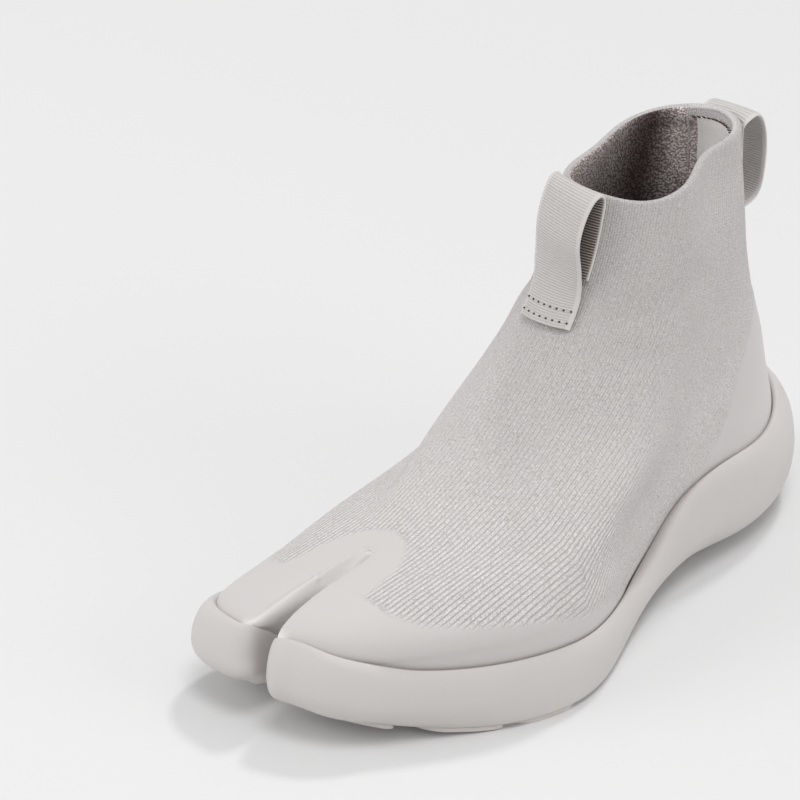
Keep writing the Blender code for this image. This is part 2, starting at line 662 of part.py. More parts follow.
def main():
    clear_scene()
    knit = material("knit", GREIGE_KNIT, 0.9)
    foam = material("foam", GREIGE_FOAM, 0.6)
    rubber = material("rubber", GREIGE_FOAM, 0.5)
    webbing = material("webbing", GREIGE_WEB, 0.8)
    lining = material("lining", GREIGE_LINING, 0.95)
    shoe = Shoe()
    make_upper(shoe, knit)
    foot = make_midsole(shoe, foam)
    make_pads(shoe, foot[:, :2], rubber)
    make_insole(shoe, lining)
    front = shoe.front_columns()
    make_strap("pull_loop_front", shoe, FRONT_STRAP, front, 1, FRONT_TILT, FRONT_TWIST, webbing)
    make_strap("pull_loop_rear", shoe, REAR_STRAP, shoe.back_columns(), -1, 0.0, 0.0, webbing)
    make_patch(shoe, webbing)


main()
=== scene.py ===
"""Left split-toe sock sneaker in a plain studio: knit, film, foam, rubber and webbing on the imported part.

Sizes are in millimetres in the shoe frame of the part: x to the outer side, station from heel to toe,
z up from the floor.
"""
import math

import bmesh
import bpy
import numpy as np
from mathutils import Matrix, Vector
from mathutils.geometry import delaunay_2d_cdt


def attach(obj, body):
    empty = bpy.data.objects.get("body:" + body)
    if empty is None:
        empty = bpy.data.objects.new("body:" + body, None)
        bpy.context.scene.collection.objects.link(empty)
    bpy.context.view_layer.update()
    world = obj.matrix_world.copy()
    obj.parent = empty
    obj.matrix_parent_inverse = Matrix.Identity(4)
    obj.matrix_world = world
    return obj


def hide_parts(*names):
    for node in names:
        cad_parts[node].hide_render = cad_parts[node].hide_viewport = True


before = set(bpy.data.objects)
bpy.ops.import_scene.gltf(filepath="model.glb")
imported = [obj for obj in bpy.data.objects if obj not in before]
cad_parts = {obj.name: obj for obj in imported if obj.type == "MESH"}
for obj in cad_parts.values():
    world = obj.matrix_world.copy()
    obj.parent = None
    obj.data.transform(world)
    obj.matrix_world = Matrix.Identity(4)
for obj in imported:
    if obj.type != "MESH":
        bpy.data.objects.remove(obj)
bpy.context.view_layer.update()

MM = 0.001
X_CENTRE = 4.3
STATION_CENTRE = 135.4
GAP = 0.3
TRAY_GAP = 0.45
WALL = 2.0
COLLAR_ROLL = 0.7
# Pairs that fade() reads are a start and a run.
COLLAR_ROLL_LEVEL = (11.3, 0.5)
COLLAR_BACK = (60.0, -15.0)
FILM_STEP = 0.4
FILM_FADE = 3.0


def columns(names, rows):
    """A table as named columns."""
    return {name: np.array([row[i] for row in rows], float) for i, name in enumerate(names)}


RING_COLUMNS = (
    "z_heel", "z_toe", "s_heel", "s_toe", "heel_lat", "heel_med", "mid_lat", "mid_med", "ball_lat",
    "ball_med", "toe_lat", "toe_med", "tip_lat", "tip_med", "x_toe", "half_gap", "inner_gap", "depth",
)
RINGS = (
    (25, 21, 14.0, 260, 27.0, -26.0, 33.0, -20.0, 51.0, -39.0, 25.0, -39.0, 8.0, -34.0, -14, 4.6, 5, 22),
    (34, 29, 11.0, 266, 30.5, -29.0, 35.0, -22.0, 53.5, -42.0, 28.0, -42.0, 11.0, -38.0, -16, 4.0, 4.5, 30),
    (42, 36, 11.5, 267, 30.5, -29.5, 35.5, -24.0, 52.0, -41.5, 26.0, -39.5, 9.0, -36.0, -16, 3.6, 0.5, 35),
    (51, 42, 14.5, 258, 29.5, -28.5, 35.5, -26.5, 49.0, -38.5, 23.0, -33.0, 8.0, -27.0, -13, 3.8, -0.6, 35),
    (61, 46, 18.0, 239, 28.5, -27.5, 35.5, -28.0, 46.0, -35.0, 24.0, -25.5, 9.0, -19.5, -10, 3.3, -0.4, 20),
    (72, 49.5, 22.0, 218, 27.5, -26.5, 35.0, -29.5, 44.0, -32.5, 26.0, -21.5, 12.0, -16.0, -7, 2.6, 0, 0),
    (83, 56, 26.5, 201, 26.0, -25.5, 34.5, -30.0, 41.5, -31.8, 25.5, -21.6, 12.5, -15.4, -4, 2.6, 0, 0),
    (94, 66, 30.5, 183, 24.5, -24.5, 33.5, -30.0, 37.5, -30.5, 23.5, -21.0, 12.0, -14.4, -2, 2.6, 0, 0),
    (106, 80, 34.0, 163, 22.5, -23.5, 32.0, -29.0, 34.5, -28.0, 21.5, -18.5, 11.5, -12.0, 0, 2.6, 0, 0),
    (117.5, 97, 36.5, 144.5, 20.5, -22.0, 29.5, -27.5, 32.5, -25.5, 20.0, -17.0, 11.0, -11.0, 0, 2.6, 0, 0),
    (129, 115, 37.0, 132, 18.0, -20.5, 25.0, -25.5, 30.0, -21.5, 20.5, -15.5, 11.5, -10.0, 1, 2.6, 0, 0),
    (139.5, 131, 37.0, 125.5, 15.5, -18.5, 20.0, -23.0, 27.5, -18.5, 19.5, -14.0, 11.5, -9.5, 2, 2.6, 0, 0),
    (149, 147, 37.0, 122, 14.0, -17.0, 17.5, -21.0, 25.0, -16.5, 19.0, -13.0, 11.5, -9.0, 2, 2.6, 0, 0),
)
TOP_LEVEL = len(RINGS) - 1
SHARE = {"heel": 0.13, "mid": 0.42, "ball": 0.68, "toe": 0.90, "tip": 0.97}
NOTCH = columns(("along", "across", "depth"), (
    (0.00, 1.90, 0.00), (0.12, 1.50, 0.025), (0.24, 1.22, 0.085), (0.36, 1.07, 0.20), (0.50, 1.00, 0.40),
    (0.65, 0.95, 0.64), (0.80, 0.80, 0.86), (0.91, 0.46, 0.97), (1.00, 0.00, 1.00),
))
CLEFT_X = -5.8
CLEFT_STATION = 217.0
CLEFT_SLANT = -0.13
CLEFT_LEVEL = (5.0, 2.0)
CLEFT_THIN_REACH = 12.0
CLEFT_THIN_STATION = (205.0, 8.0)
CLEFT_THINNING = 0.75
COLLAR_DIP = 3.7
COLLAR_DIP_PLACE = (18.0, 108.0)
COLLAR_DIP_REACH = 17.0
COLLAR_DIP_LEVEL = (8.0, 4.0)
FILM_TOP = columns(("station", "height"), (
    (0, 92), (30, 90), (48, 86), (58, 80), (67, 72), (72, 62.5), (78, 53), (86, 46), (92, 40.5), (98, 34),
    (106, 26), (116, 16), (131, 14), (144, 20.5), (158, 25.5), (171, 29.8), (184, 32.8), (201, 36.8),
    (215, 38.5), (225, 39.5), (235, 41.3), (240, 44), (245, 70), (275, 70),
))
CLEFT_FILM = columns(("station", "reach"), (
    (209.5, 0), (210.5, 4), (212, 8), (215.6, 11.7), (220, 14.2), (225, 15.8), (230, 16.6), (235, 17.2),
    (240, 18), (275, 30),
))
CLEFT_FILM_FADE = 2.5
CLEFT_FILM_STATION = 203.0
CLEFT_FILM_HEIGHT = 62.0
# Painted light on the steep walls of the cleft, which lie in shade: steepness, distance from its middle,
# station and height.
CLEFT_PAINTED_LIGHT_SLOPE = (0.8, -0.5)
CLEFT_PAINTED_LIGHT_REACH = (10.0, -3.0)
CLEFT_PAINTED_LIGHT_STATION = (209.0, 4.0)
CLEFT_PAINTED_LIGHT_HEIGHT = (51.0, -4.0)
TRAY_FLOOR = columns(("station", "height"), (
    (0, 26), (40, 24), (90, 20), (140, 15), (190, 12.5), (225, 13.5), (250, 17), (275, 23),
))
UNDERSIDE = 1.9
TOE_SPRING = 13.0
TOE_SPRING_STATIONS = (206.0, 275.0)
HEEL_BEVEL = 3.0
HEEL_BEVEL_STATION = 36.0
ARCH_RISE = 4.0
ARCH_STATIONS = (76.0, 160.0)
SIDE_COLUMNS = ("top", "roll", "bulge", "bottom")
SIDE = {
    "lip_lat": (36.5, 2.0, 5.0, -3.0),
    "tip_lat": (34.5, 3.5, 7.0, -2.5),
    "toe_lat": (26.5, 3.0, 5.5, 1.5),
    "ball_lat": (22.5, 2.2, 4.4, 4.0),
    "waist_lat": (17.6, 2.0, 3.8, 3.2),
    "mid_lat": (21.3, 2.0, 3.6, 2.5),
    "rise_lat": (32.0, 2.3, 3.8, -1.5),
    "arch_lat": (38.4, 2.8, 4.2, -6.6),
    "quarter_lat": (39.3, 3.3, 5.8, -3.4),
    "heel_lat": (38.5, 3.6, 7.0, -1.0),
    "heel": (44.0, 5.0, 12.0, 7.5),
    "heel_med": (38.5, 3.6, 5.5, 1.0),
    "arch_med": (35.5, 2.6, 3.5, -4.5),
    "mid_med": (32.0, 1.8, 2.0, -4.0),
    "ball_med": (24.5, 2.2, 4.0, -3.5),
    "toe_med": (29.0, 3.5, 6.0, -6.5),
    "tip_med": (34.5, 4.0, 8.5, -7.5),
    "lip_med": (36.5, 2.2, 3.4, -5.5),
    "corner_med": (34.5, 1.2, 1.4, -2.2),
    "wall_med": (23.0, 1.3, 1.5, 0.3),
    "root": (21.5, 1.5, 1.9, 1.0),
    "wall_lat": (24.0, 1.5, 1.9, 1.0),
    "corner_lat": (33.0, 1.3, 2.0, 0.2),
}
SIDE_WALL = columns(("share", "bottom", "bulge", "roll"), (
    (0.00, 1.00, 0.00, 0.00), (0.12, 0.42, 0.58, 0.00), (0.30, 0.06, 0.94, 0.00), (0.50, 0.00, 1.00, 0.00),
    (0.74, 0.00, 0.70, 0.30), (0.92, 0.00, 0.12, 0.88), (1.00, 0.00, 0.00, 0.55),
))
PAD_THICKNESS = 1.6
PAD_CORNER = 5.0
# First and last station, region and inset from the midsole's bottom edge.
PADS = {
    "outsole_toe_inner": (240, 251, "inner_lobe", 1.5),
    "outsole_toe_outer": (243, 257, "outer_lobe", 0.4),
    "outsole_ball_front": (213.5, 237, "whole", 0.4),
    "outsole_ball_middle": (187, 211.5, "whole", 0.4),
    "outsole_ball_rear": (160, 184, "whole", 3.0),
    "outsole_heel": (14, 80, "whole", 4.0),
}
PAD_STEPS = 25
PAD_COLUMNS = 13
PAD_BEVEL = 0.5
INSOLE_BEVEL = 1.0
BEVEL_ANGLE = 0.7
# Edges past these angles, in radians, are shaded sharp.
PAD_SHARP = 0.6
INSOLE_SHARP = 0.8
STRAP_SHARP = 0.9
PATCH_SHARP = 0.8
STRAP_WIDTH = 20.5
STRAP_THICKNESS = 1.6
STRAP_GAP = 0.5
STRAP_STEPS = 150
STRAP_COLUMNS = 17
STRAP_EDGE_POWER = 10
STRAP_EDGE_LEAST = 0.02
STRAP_SHADE_WIDTH = 0.97
STRAP_FLATTENING = 0.75
STRAP_CLEAR = 4.0
STRAP_TILT = (105.0, 40.0)
FRONT_STRAP = columns(("off", "height"), (
    (0, 104), (0, 107), (0.4, 111), (1.5, 116), (4.2, 123), (8.6, 131), (10.2, 138), (8.5, 144.5),
    (5.6, 148), (2.2, 149.3), (0.5, 147.6), (0, 144.5), (0, 139), (0, 132), (0, 125.5), (0, 119.5),
))
REAR_STRAP = columns(("off", "height"), (
    (0, 109), (0, 113), (1.4, 115.2), (5.8, 116.2), (10, 119.5), (11.8, 126), (12, 134.5),
    (10.6, 142), (7.4, 147.4), (3.6, 148.8), (0.8, 147.2), (0, 144), (0, 138.5), (0, 133.5),
))
FRONT_TILT = -0.12
FRONT_TWIST = 0.35
PATCH_WIDTH = 20.5
PATCH_X = 2.75
PATCH_THICKNESS = 0.8
PATCH_HEIGHTS = (130.0, 146.4)
PATCH_GAP = 0.5
PATCH_ROWS = 10
PATCH_COLUMNS = 15
# Stitches: length and width of one.
HOLE_SIZE = (0.95, 0.75)
THREAD_SIZE = (1.75, 0.45)
COLLAR_STITCH_SIZE = (1.9, 0.7)
COLLAR_STITCH_STEP = 1.6
COLLAR_STITCH_PAST = 1.0
COLLAR_STITCH_RISE = 0.2
COLLAR_SEAM_SIZE = (1.9, 0.9)
COLLAR_SEAM_LIFT = 0.2
COLLAR_SEAM_HEIGHTS = np.arange(112, 148, 1.5)
STITCH_FLATNESS = 0.6
STITCH_LIFT = 0.02
STITCH_SPOTS = np.linspace(-0.43, 0.43, 8) * STRAP_WIDTH
# Distances of the stitch rows from the lower end of a strap.
FRONT_STITCH_ROWS = (2.2, 6.2)
REAR_STITCH_ROWS = (1.6, 3.6)

# The camera, fitted to the photo, in degrees and metres, and the places that lights aim at.
AZIMUTH = math.radians(37.9)
ELEVATION = math.radians(27.32)
ROLL = math.radians(2.04)
DISTANCE = 1.2473
TARGET = Vector((-0.04482, -0.02823, 0.070))
LENS = 165.17
SENSOR = 36.0
CLIP_END = 20.0
SHOE_MIDDLE = (0, 0, 0.06)
COLLAR_INSIDE = (-0.004, 0.094, 0.134)
FLOOR_REACH = 6.0
WORLD_STRENGTH = 0.50

SEGMENTS = (3, 3, 6, 5, 5, 4, 4, 5, 5, 6, 3, 3)
NOTCH_STEPS = 8
FRONT_STEPS = 161
GRID_LEVELS = np.arange(0, TOP_LEVEL + 0.01, 0.125)
INNER_LEVELS = np.concatenate((np.arange(0, 6.01, 0.5), np.arange(7, TOP_LEVEL + 0.01, 1.0)))
FINE = 6
FINE_NOTCH = 4
KNIT_LEVELS = np.linspace(0.05, TOP_LEVEL, 180)
LINING_LEVELS = np.concatenate((np.linspace(0.05, 11, 30), np.linspace(11.2, TOP_LEVEL, 8)))
CROWN_ANGLES = np.linspace(0, np.pi, 9)[1:-1]
CROWN_RISE = 0.9
CROWN_STEP = 0.6
MIDSOLE_STEP = 1.3
WALL_LEVELS = np.concatenate((np.linspace(0, 1, 5), np.linspace(1, 4, 15)[1:], np.linspace(4, 6, 15)[1:]))
TRAY_SHARES = (0.96, 0.6, 0.2)
CAP_SPACING = 9.0
CAP_CLEAR = 0.45

# Soft troughs and ridges of the knit: two ends, half width and depth.
CREASES = columns(("x0", "s0", "z0", "x1", "s1", "z1", "width", "depth"), (
    (18, 129, 107, 31, 102, 110, 6.0, 0.9),
    (31, 102, 110, 30, 84, 117, 5.0, 0.8),
    (14, 136, 100, 30, 112, 99, 5.0, -0.5),
    (-18, 127, 108, -27, 96, 112, 6.0, 0.9),
    (-20, 128, 98, -29, 100, 98, 5.0, -0.5),
))
CREASE_TAPER = 0.35
KINK_STATION = 179.0
RIB_DRIFT = 0.08
RIB_PITCH = 1.6
RIB_SIDE_PITCH = 2.3
RIB_LEAN = (0.61, 1.0)
RIB_LEAN_HEIGHT = (60.0, 60.0)
RIB_TURN = (KINK_STATION + 25, -50.0)
# Share, start and run of the finer ribs up the shaft, and towards the back.
FINE_RIBS = ((0.75, 42.0, 30.0), (0.25, 80.0, 30.0))
FINE_RIBS_BACK = 0.9
FINE_RIBS_STATION = (KINK_STATION, -70.0)
RIB_AXIS = (4.0, 22.0)
RIB_STATIONS = np.arange(KINK_STATION, 262, 2.0)
RIB_ANGLES = np.radians(np.arange(-120, 121, 2.0))
# Painted light on the lining, which lies in shade: its share by station, none at the shaded fold near
# station 55.
LINING_PAINTED_LIGHT = columns(("station", "share"), (
    (40, 1.0), (46, 0.95), (50, 0.25), (55, 0.0), (61, 0.05), (72, 0.4), (90, 0.6), (115, 0.8),
))
LINING_PAINTED_LIGHT_HEIGHT = (85.0, 50.0)
COLLAR_BAND_STATION = 60.0
COLLAR_SEAM_X = -10.7
# Rows past the crown that stay knit at the back, before its end that turn to lining elsewhere, and
# before its end that get painted light at the back, where the inside of the collar lies in shade.
COLLAR_BAND_ROWS = 2
LINING_EDGE_ROWS = 2
PAINTED_LIGHT_EDGE_ROWS = 3


def normalised(vectors):
    return vectors / np.linalg.norm(vectors, axis=-1, keepdims=True)


def running(steps):
    """Sums of the steps so far, from 0."""
    return np.concatenate(((0,), np.cumsum(steps)))


def spline(knots, values, at):
    """Natural cubic through the values at the knots, read at the places in at."""
    knots = np.asarray(knots, float)
    values = np.asarray(values, float)
    at = np.atleast_1d(np.asarray(at, float))
    count = len(knots)
    step = np.diff(knots)
    shape = (-1,) + (1,) * (values.ndim - 1)
    slope = np.diff(values, axis=0) / step.reshape(shape)
    bend = np.eye(count)
    load = np.zeros_like(values)
    for i in range(1, count - 1):
        bend[i, i - 1:i + 2] = (step[i - 1], 2 * (step[i - 1] + step[i]), step[i])
        load[i] = 6 * (slope[i] - slope[i - 1])
    second = np.linalg.solve(bend, load.reshape(count, -1)).reshape(values.shape)
    at = np.clip(at, knots[0], knots[-1])
    i = np.clip(np.searchsorted(knots, at) - 1, 0, count - 2)
    width = step[i].reshape(shape)
    right = ((at - knots[i]) / step[i]).reshape(shape)
    left = 1 - right
    curve = (left ** 3 - left) * second[i] + (right ** 3 - right) * second[i + 1]
    return left * values[i] + right * values[i + 1] + curve * width ** 2 / 6


def height_along(table, station):
    heights = spline(table["station"], table["height"], np.ravel(station))
    return heights.reshape(np.shape(station))


def fade(value, start, run):
    """0 up to start and 1 from a run past it, smooth between; a negative run fades the other way."""
    share = np.clip((value - start) / run, 0, 1)
    return share * share * (3 - 2 * share)


def underside_at(station):
    station = np.asarray(station, float)
    first, last = TOE_SPRING_STATIONS
    spring = np.clip((station - first) / (last - first), 0, None) ** 2
    bevel = np.clip(1 - station / HEEL_BEVEL_STATION, 0, None) ** 2
    start, end = ARCH_STATIONS
    arch = np.sin(np.pi * np.clip((station - start) / (end - start), 0, 1)) ** 2
    return UNDERSIDE + TOE_SPRING * spring + HEEL_BEVEL * bevel + ARCH_RISE * arch


def cleft_x(station):
    return CLEFT_X + CLEFT_SLANT * (station - CLEFT_STATION)


def closed_knots(points):
    """Chord lengths round a closed curve, summed from its first point and back to it."""
    return running(np.linalg.norm(np.roll(points, -1, axis=0) - points, axis=1))


def wrapped(knots, values, wrap):
    """Knots and values of a closed curve, repeated past both ends."""
    total = knots[-1]
    long_knots = np.concatenate((knots[-wrap - 1:-1] - total, knots, knots[1:wrap + 1] + total))
    return long_knots, np.concatenate((values[-wrap:], values, values[:wrap + 1]))


def ring_plan(ring):
    """Knots and points of a ring without its cleft, from the toe round by the outer side."""
    length = ring["s_toe"] - ring["s_heel"]
    station = {name: ring["s_heel"] + share * length for name, share in SHARE.items()}
    heel_x = 0.5 * (ring["heel_lat"] + ring["heel_med"])
    points = [(ring["x_toe"], ring["s_toe"])]
    points += [(ring[name + "_lat"], station[name]) for name in ("tip", "toe", "ball", "mid", "heel")]
    points += [(heel_x, ring["s_heel"])]
    points += [(ring[name + "_med"], station[name]) for name in ("heel", "mid", "ball", "toe", "tip")]
    knots = closed_knots(np.array(points))
    return knots, *wrapped(knots, np.array(points), wrap=4)


def notch_curve(steps):
    along = np.linspace(0, 1, steps + 1)
    half = spline(NOTCH["along"], np.column_stack((NOTCH["across"], NOTCH["depth"])), along)
    half[:, 1] = np.clip(half[:, 1], 0, 1)
    other = half[-2::-1] * (-1, 1)
    return np.concatenate((half, other))[1:-1]


def collar_dip(plan, level):
    """How far the collar drops at the outer front."""
    away = np.sum((plan - COLLAR_DIP_PLACE) ** 2, axis=1)
    return COLLAR_DIP * fade(level, *COLLAR_DIP_LEVEL) * np.exp(-away / COLLAR_DIP_REACH ** 2)


def ring_points(level, segments, notch_steps):
    """Points of one ring of the knit's outer face, from the outer lip round to the cleft."""
    ring = dict(zip(RING_COLUMNS, spline(np.arange(len(RINGS)), np.array(RINGS, float), level)[0]))
    knots, long_knots, long_points = ring_plan(ring)
    half_gap = ring["half_gap"]
    depth = max(ring["depth"], 0.0)
    total = knots[-1]
    front = np.linspace(knots[-2], total + knots[1], FRONT_STEPS)
    front_x = spline(long_knots, long_points, front)[:, 0]
    above = fade(level, *CLEFT_LEVEL)
    centre = (1 - above) * cleft_x(ring["s_toe"]) + above * ring["x_toe"]
    lip = NOTCH["across"][0] * half_gap
    start = np.interp(centre + lip, front_x, front) - total
    end = np.interp(centre - lip - ring["inner_gap"], front_x, front)
    stops = np.concatenate(((start,), knots[1:-1], (end,)))
    along = [np.linspace(a, b, n, endpoint=False) for a, b, n in zip(stops, stops[1:], segments)]
    main = spline(long_knots, long_points, np.concatenate(along + [np.array([end])]))
    across, deep = notch_curve(notch_steps)[::-1].T
    across = half_gap * across - ring["inner_gap"] * fade(across, 0.5, -1)
    place = np.interp(centre + across, front_x, front)
    notch = spline(long_knots, long_points, place)
    notch[:, 1] -= depth * deep
    notch[:, 0] = centre + CLEFT_SLANT * (notch[:, 1] - ring["s_toe"]) + across
    plan = np.concatenate((main, notch))
    share = (plan[:, 1] - ring["s_heel"]) / (ring["s_toe"] - ring["s_heel"])
    height = ring["z_heel"] + (ring["z_toe"] - ring["z_heel"]) * np.clip(share, 0, 1)
    seat = max(0.0, 1.0 - level)
    floor = height_along(TRAY_FLOOR, plan[:, 1]) + GAP
    height = (1 - seat) * height + seat * floor
    return np.column_stack((plan, height - collar_dip(plan, level)))


def grid_normals(grid):
    along = np.roll(grid, -1, axis=1) - np.roll(grid, 1, axis=1)
    up = np.gradient(grid, axis=0)
    return normalised(np.cross(up, along))


def knit_grid(rows, fine):
    segments = SEGMENTS
    steps = NOTCH_STEPS
    if fine:
        segments = tuple(n * FINE for n in SEGMENTS)
        steps = NOTCH_STEPS * FINE_NOTCH
    return np.stack([ring_points(level, segments, steps) for level in rows])


def film_share(grid):
    """1 under the film at toe and heel, 0 on the bare knit."""
    top = np.interp(grid[:, :, 1], FILM_TOP["station"], FILM_TOP["height"])
    return fade(top - grid[:, :, 2], 0, FILM_FADE)


def outer_grid(rows, fine=False):
    grid = knit_grid(rows, fine)
    return grid + grid_normals(grid) * (FILM_STEP * film_share(grid))[:, :, None]


def collar_wall(rows, grid):
    """How thick the upper is, with its rolled edge, which is fuller at the back."""
    roll = fade(np.asarray(rows)[:, None], *COLLAR_ROLL_LEVEL)
    return WALL + COLLAR_ROLL * roll * (1 + fade(grid[:, :, 1], *COLLAR_BACK))


def inner_grid(rows, fine=False):
    """The inner face of the upper, with a thin wall beside the cleft."""
    grid = knit_grid(rows, fine)
    near = np.exp(-((grid[:, :, 0] - cleft_x(grid[:, :, 1])) / CLEFT_THIN_REACH) ** 2)
    thin = 1 - CLEFT_THINNING * near * fade(grid[:, :, 1], *CLEFT_THIN_STATION)
    return grid - grid_normals(grid) * (thin * collar_wall(rows, grid))[:, :, None]


def crease_lift(grid):
    """How far the soft troughs and ridges move the knit along its normal."""
    lift = np.zeros(grid.shape[:2])
    for i in range(len(CREASES["x0"])):
        a = np.array([CREASES[name][i] for name in ("x0", "s0", "z0")])
        b = np.array([CREASES[name][i] for name in ("x1", "s1", "z1")])
        line = b - a
        share = np.clip(((grid - a) @ line) / (line @ line), 0, 1)
        near = np.linalg.norm(grid - a - share[:, :, None] * line, axis=2)
        taper = CREASE_TAPER + (1 - CREASE_TAPER) * np.sin(np.pi * share)
        lift -= CREASES["depth"][i] * taper * np.exp(-(near / CREASES["width"][i]) ** 2)
    return lift


class Shoe:
    """The outer face of the upper at the part's own columns, and what is read from it."""

    def __init__(self):
        self.grid = outer_grid(GRID_LEVELS)
        self.inner = inner_grid(INNER_LEVELS)
        self.count = self.grid.shape[1]
        main = running(SEGMENTS)
        names = ("lip_lat", "tip_lat", "toe_lat", "ball_lat", "mid_lat", "heel_lat", "heel",
                 "heel_med", "mid_med", "ball_med", "toe_med", "tip_med", "lip_med")
        place = dict(zip(names, main))
        place.update(
            waist_lat=place["mid_lat"] - 2, rise_lat=place["mid_lat"] + 1, arch_lat=place["mid_lat"] + 2,
            quarter_lat=place["heel_lat"] - 1, arch_med=(place["mid_med"] + place["heel_med"] + 1) // 2,
            corner_med=main[-1] + NOTCH_STEPS // 4, wall_med=main[-1] + NOTCH_STEPS // 2 + 1,
            root=main[-1] + NOTCH_STEPS, wall_lat=self.count - NOTCH_STEPS // 2 - 1,
            corner_lat=self.count - NOTCH_STEPS // 4,
        )
        self.place = place

    def ring_at(self, height):
        """Points of the outer face at one height, or at a height for each column."""
        heights = np.broadcast_to(height, (self.count,))
        columns_at = zip(heights, np.moveaxis(self.grid, 1, 0))
        return np.array([[np.interp(z, line[:, 2], line[:, k]) for k in (0, 1)] for z, line in columns_at])

    def seats(self, surface, across, heights, picked):
        """Stations of a face of the upper at one x and many heights."""
        lines = np.moveaxis(surface[:, picked], 1, 0)
        xs = np.array([np.interp(heights, line[:, 2], line[:, 0]) for line in lines])
        stations = np.array([np.interp(heights, line[:, 2], line[:, 1]) for line in lines])
        return np.array([np.interp(across, xs[:, k], stations[:, k]) for k in range(len(heights))])

    def front_columns(self):
        return list(range(self.place["toe_med"], self.count)) + list(range(0, self.place["toe_lat"] + 1))

    def back_columns(self):
        return list(range(self.place["mid_med"], self.place["mid_lat"] - 1, -1))


def plan_normals(ring):
    along = np.roll(ring, -1, axis=0) - np.roll(ring, 1, axis=0)
    return normalised(np.column_stack((-along[:, 1], along[:, 0])))


def offset_ring(ring, distance, steps=12, ease=0.25):
    distance = np.broadcast_to(distance, (len(ring),))[:, None]
    for _ in range(steps):
        normal = plan_normals(ring)
        ring = ring + normal * distance / steps
        middle = 0.5 * (np.roll(ring, 1, axis=0) + np.roll(ring, -1, axis=0))
        turn = np.sum((middle - ring) * normal, axis=1, keepdims=True)
        ring = np.where(turn * distance > 0, ring + ease * (middle - ring), ring)
    return ring


def side_values(shoe):
    order = sorted(SIDE, key=lambda name: shoe.place[name])
    knots = [shoe.place[name] for name in order]
    values = [SIDE[name] for name in order]
    knots = [knots[-1] - shoe.count] + knots + [knots[0] + shoe.count]
    values = [values[-1]] + values + [values[0]]
    return dict(zip(SIDE_COLUMNS, spline(knots, values, np.arange(shoe.count)).T))


def closed_spline(rings, step):
    """Rings of points round the shoe, read through a closed cubic at about one step apart."""
    knots = closed_knots(rings[len(rings) // 3])
    parts = np.maximum(np.ceil(np.diff(knots) / step).astype(int), 2)
    at = np.concatenate([np.linspace(a, b, n, endpoint=False) for a, b, n in zip(knots, knots[1:], parts)])
    values = np.moveaxis(np.asarray(rings), 1, 0)
    return np.moveaxis(spline(*wrapped(knots, values, wrap=6), at), 0, 1)


def to_world(points):
    points = np.asarray(points, float)
    return np.column_stack((points[:, 0] - X_CENTRE, STATION_CENTRE - points[:, 1], points[:, 2])) * MM


def quads(ring_count, count):
    """Quads between neighbouring rings."""
    first = np.arange(ring_count - 1)[:, None] * count
    i = np.arange(count)
    ahead = (i + 1) % count
    corners = (first + i, first + ahead, first + count + ahead, first + count + i)
    return np.stack(corners, axis=2).reshape(-1, 4)


def end_quads(ring_count, count):
    """Quads over the first and the last ring."""
    faces = []
    for first in (0, (ring_count - 1) * count):
        for i in range(count // 2 - 1):
            faces.append((first + i, first + i + 1, first + count - 2 - i, first + count - 1 - i))
    return faces


def add_object(name, data):
    thing = bpy.data.objects.new(name, data)
    bpy.context.collection.objects.link(thing)
    return thing


def make_piece(name, points, faces, paints, smooth_angle=None):
    """One smooth shaded mesh piece from points in the shoe frame."""
    mesh = bpy.data.meshes.new(name)
    mesh.from_pydata(to_world(points).tolist(), [], [tuple(f) for f in faces])
    mesh.validate()
    mesh.shade_smooth()
    if smooth_angle is not None:
        mesh.set_sharp_from_angle(angle=smooth_angle)
    for paint in paints:
        mesh.materials.append(paint)
    thing = add_object(name, mesh)
    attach(thing, "root")
    return thing


def make_bar(name, loops, paint, smooth_angle):
    """A closed piece through loops of points, with its ends filled."""
    ring_count, count = loops.shape[:2]
    faces = list(quads(ring_count, count)) + end_quads(ring_count, count)
    return make_piece(name, loops.reshape(-1, 3), faces, (paint,), smooth_angle)


def outward(thing, weld=None):
    """Turns the faces of a piece outwards, after welding points within a distance if one is given."""
    work = bmesh.new()
    work.from_mesh(thing.data)
    if weld is not None:
        bmesh.ops.remove_doubles(work, verts=work.verts[:], dist=weld)
    bmesh.ops.recalc_face_normals(work, faces=work.faces[:])
    work.to_mesh(thing.data)
    work.free()


def vertex_uv(mesh, name, pairs):
    """A uv layer from one pair of values for each vertex."""
    vertex = np.empty(len(mesh.loops), np.int32)
    mesh.loops.foreach_get("vertex_index", vertex)
    layer = mesh.uv_layers.new(name=name)
    layer.data.foreach_set("uv", pairs[vertex].astype(np.float32).ravel())


def point_values(mesh, name, values):
    layer = mesh.attributes.new(name, "FLOAT", "POINT")
    layer.data.foreach_set("value", np.ravel(values).astype(np.float32))


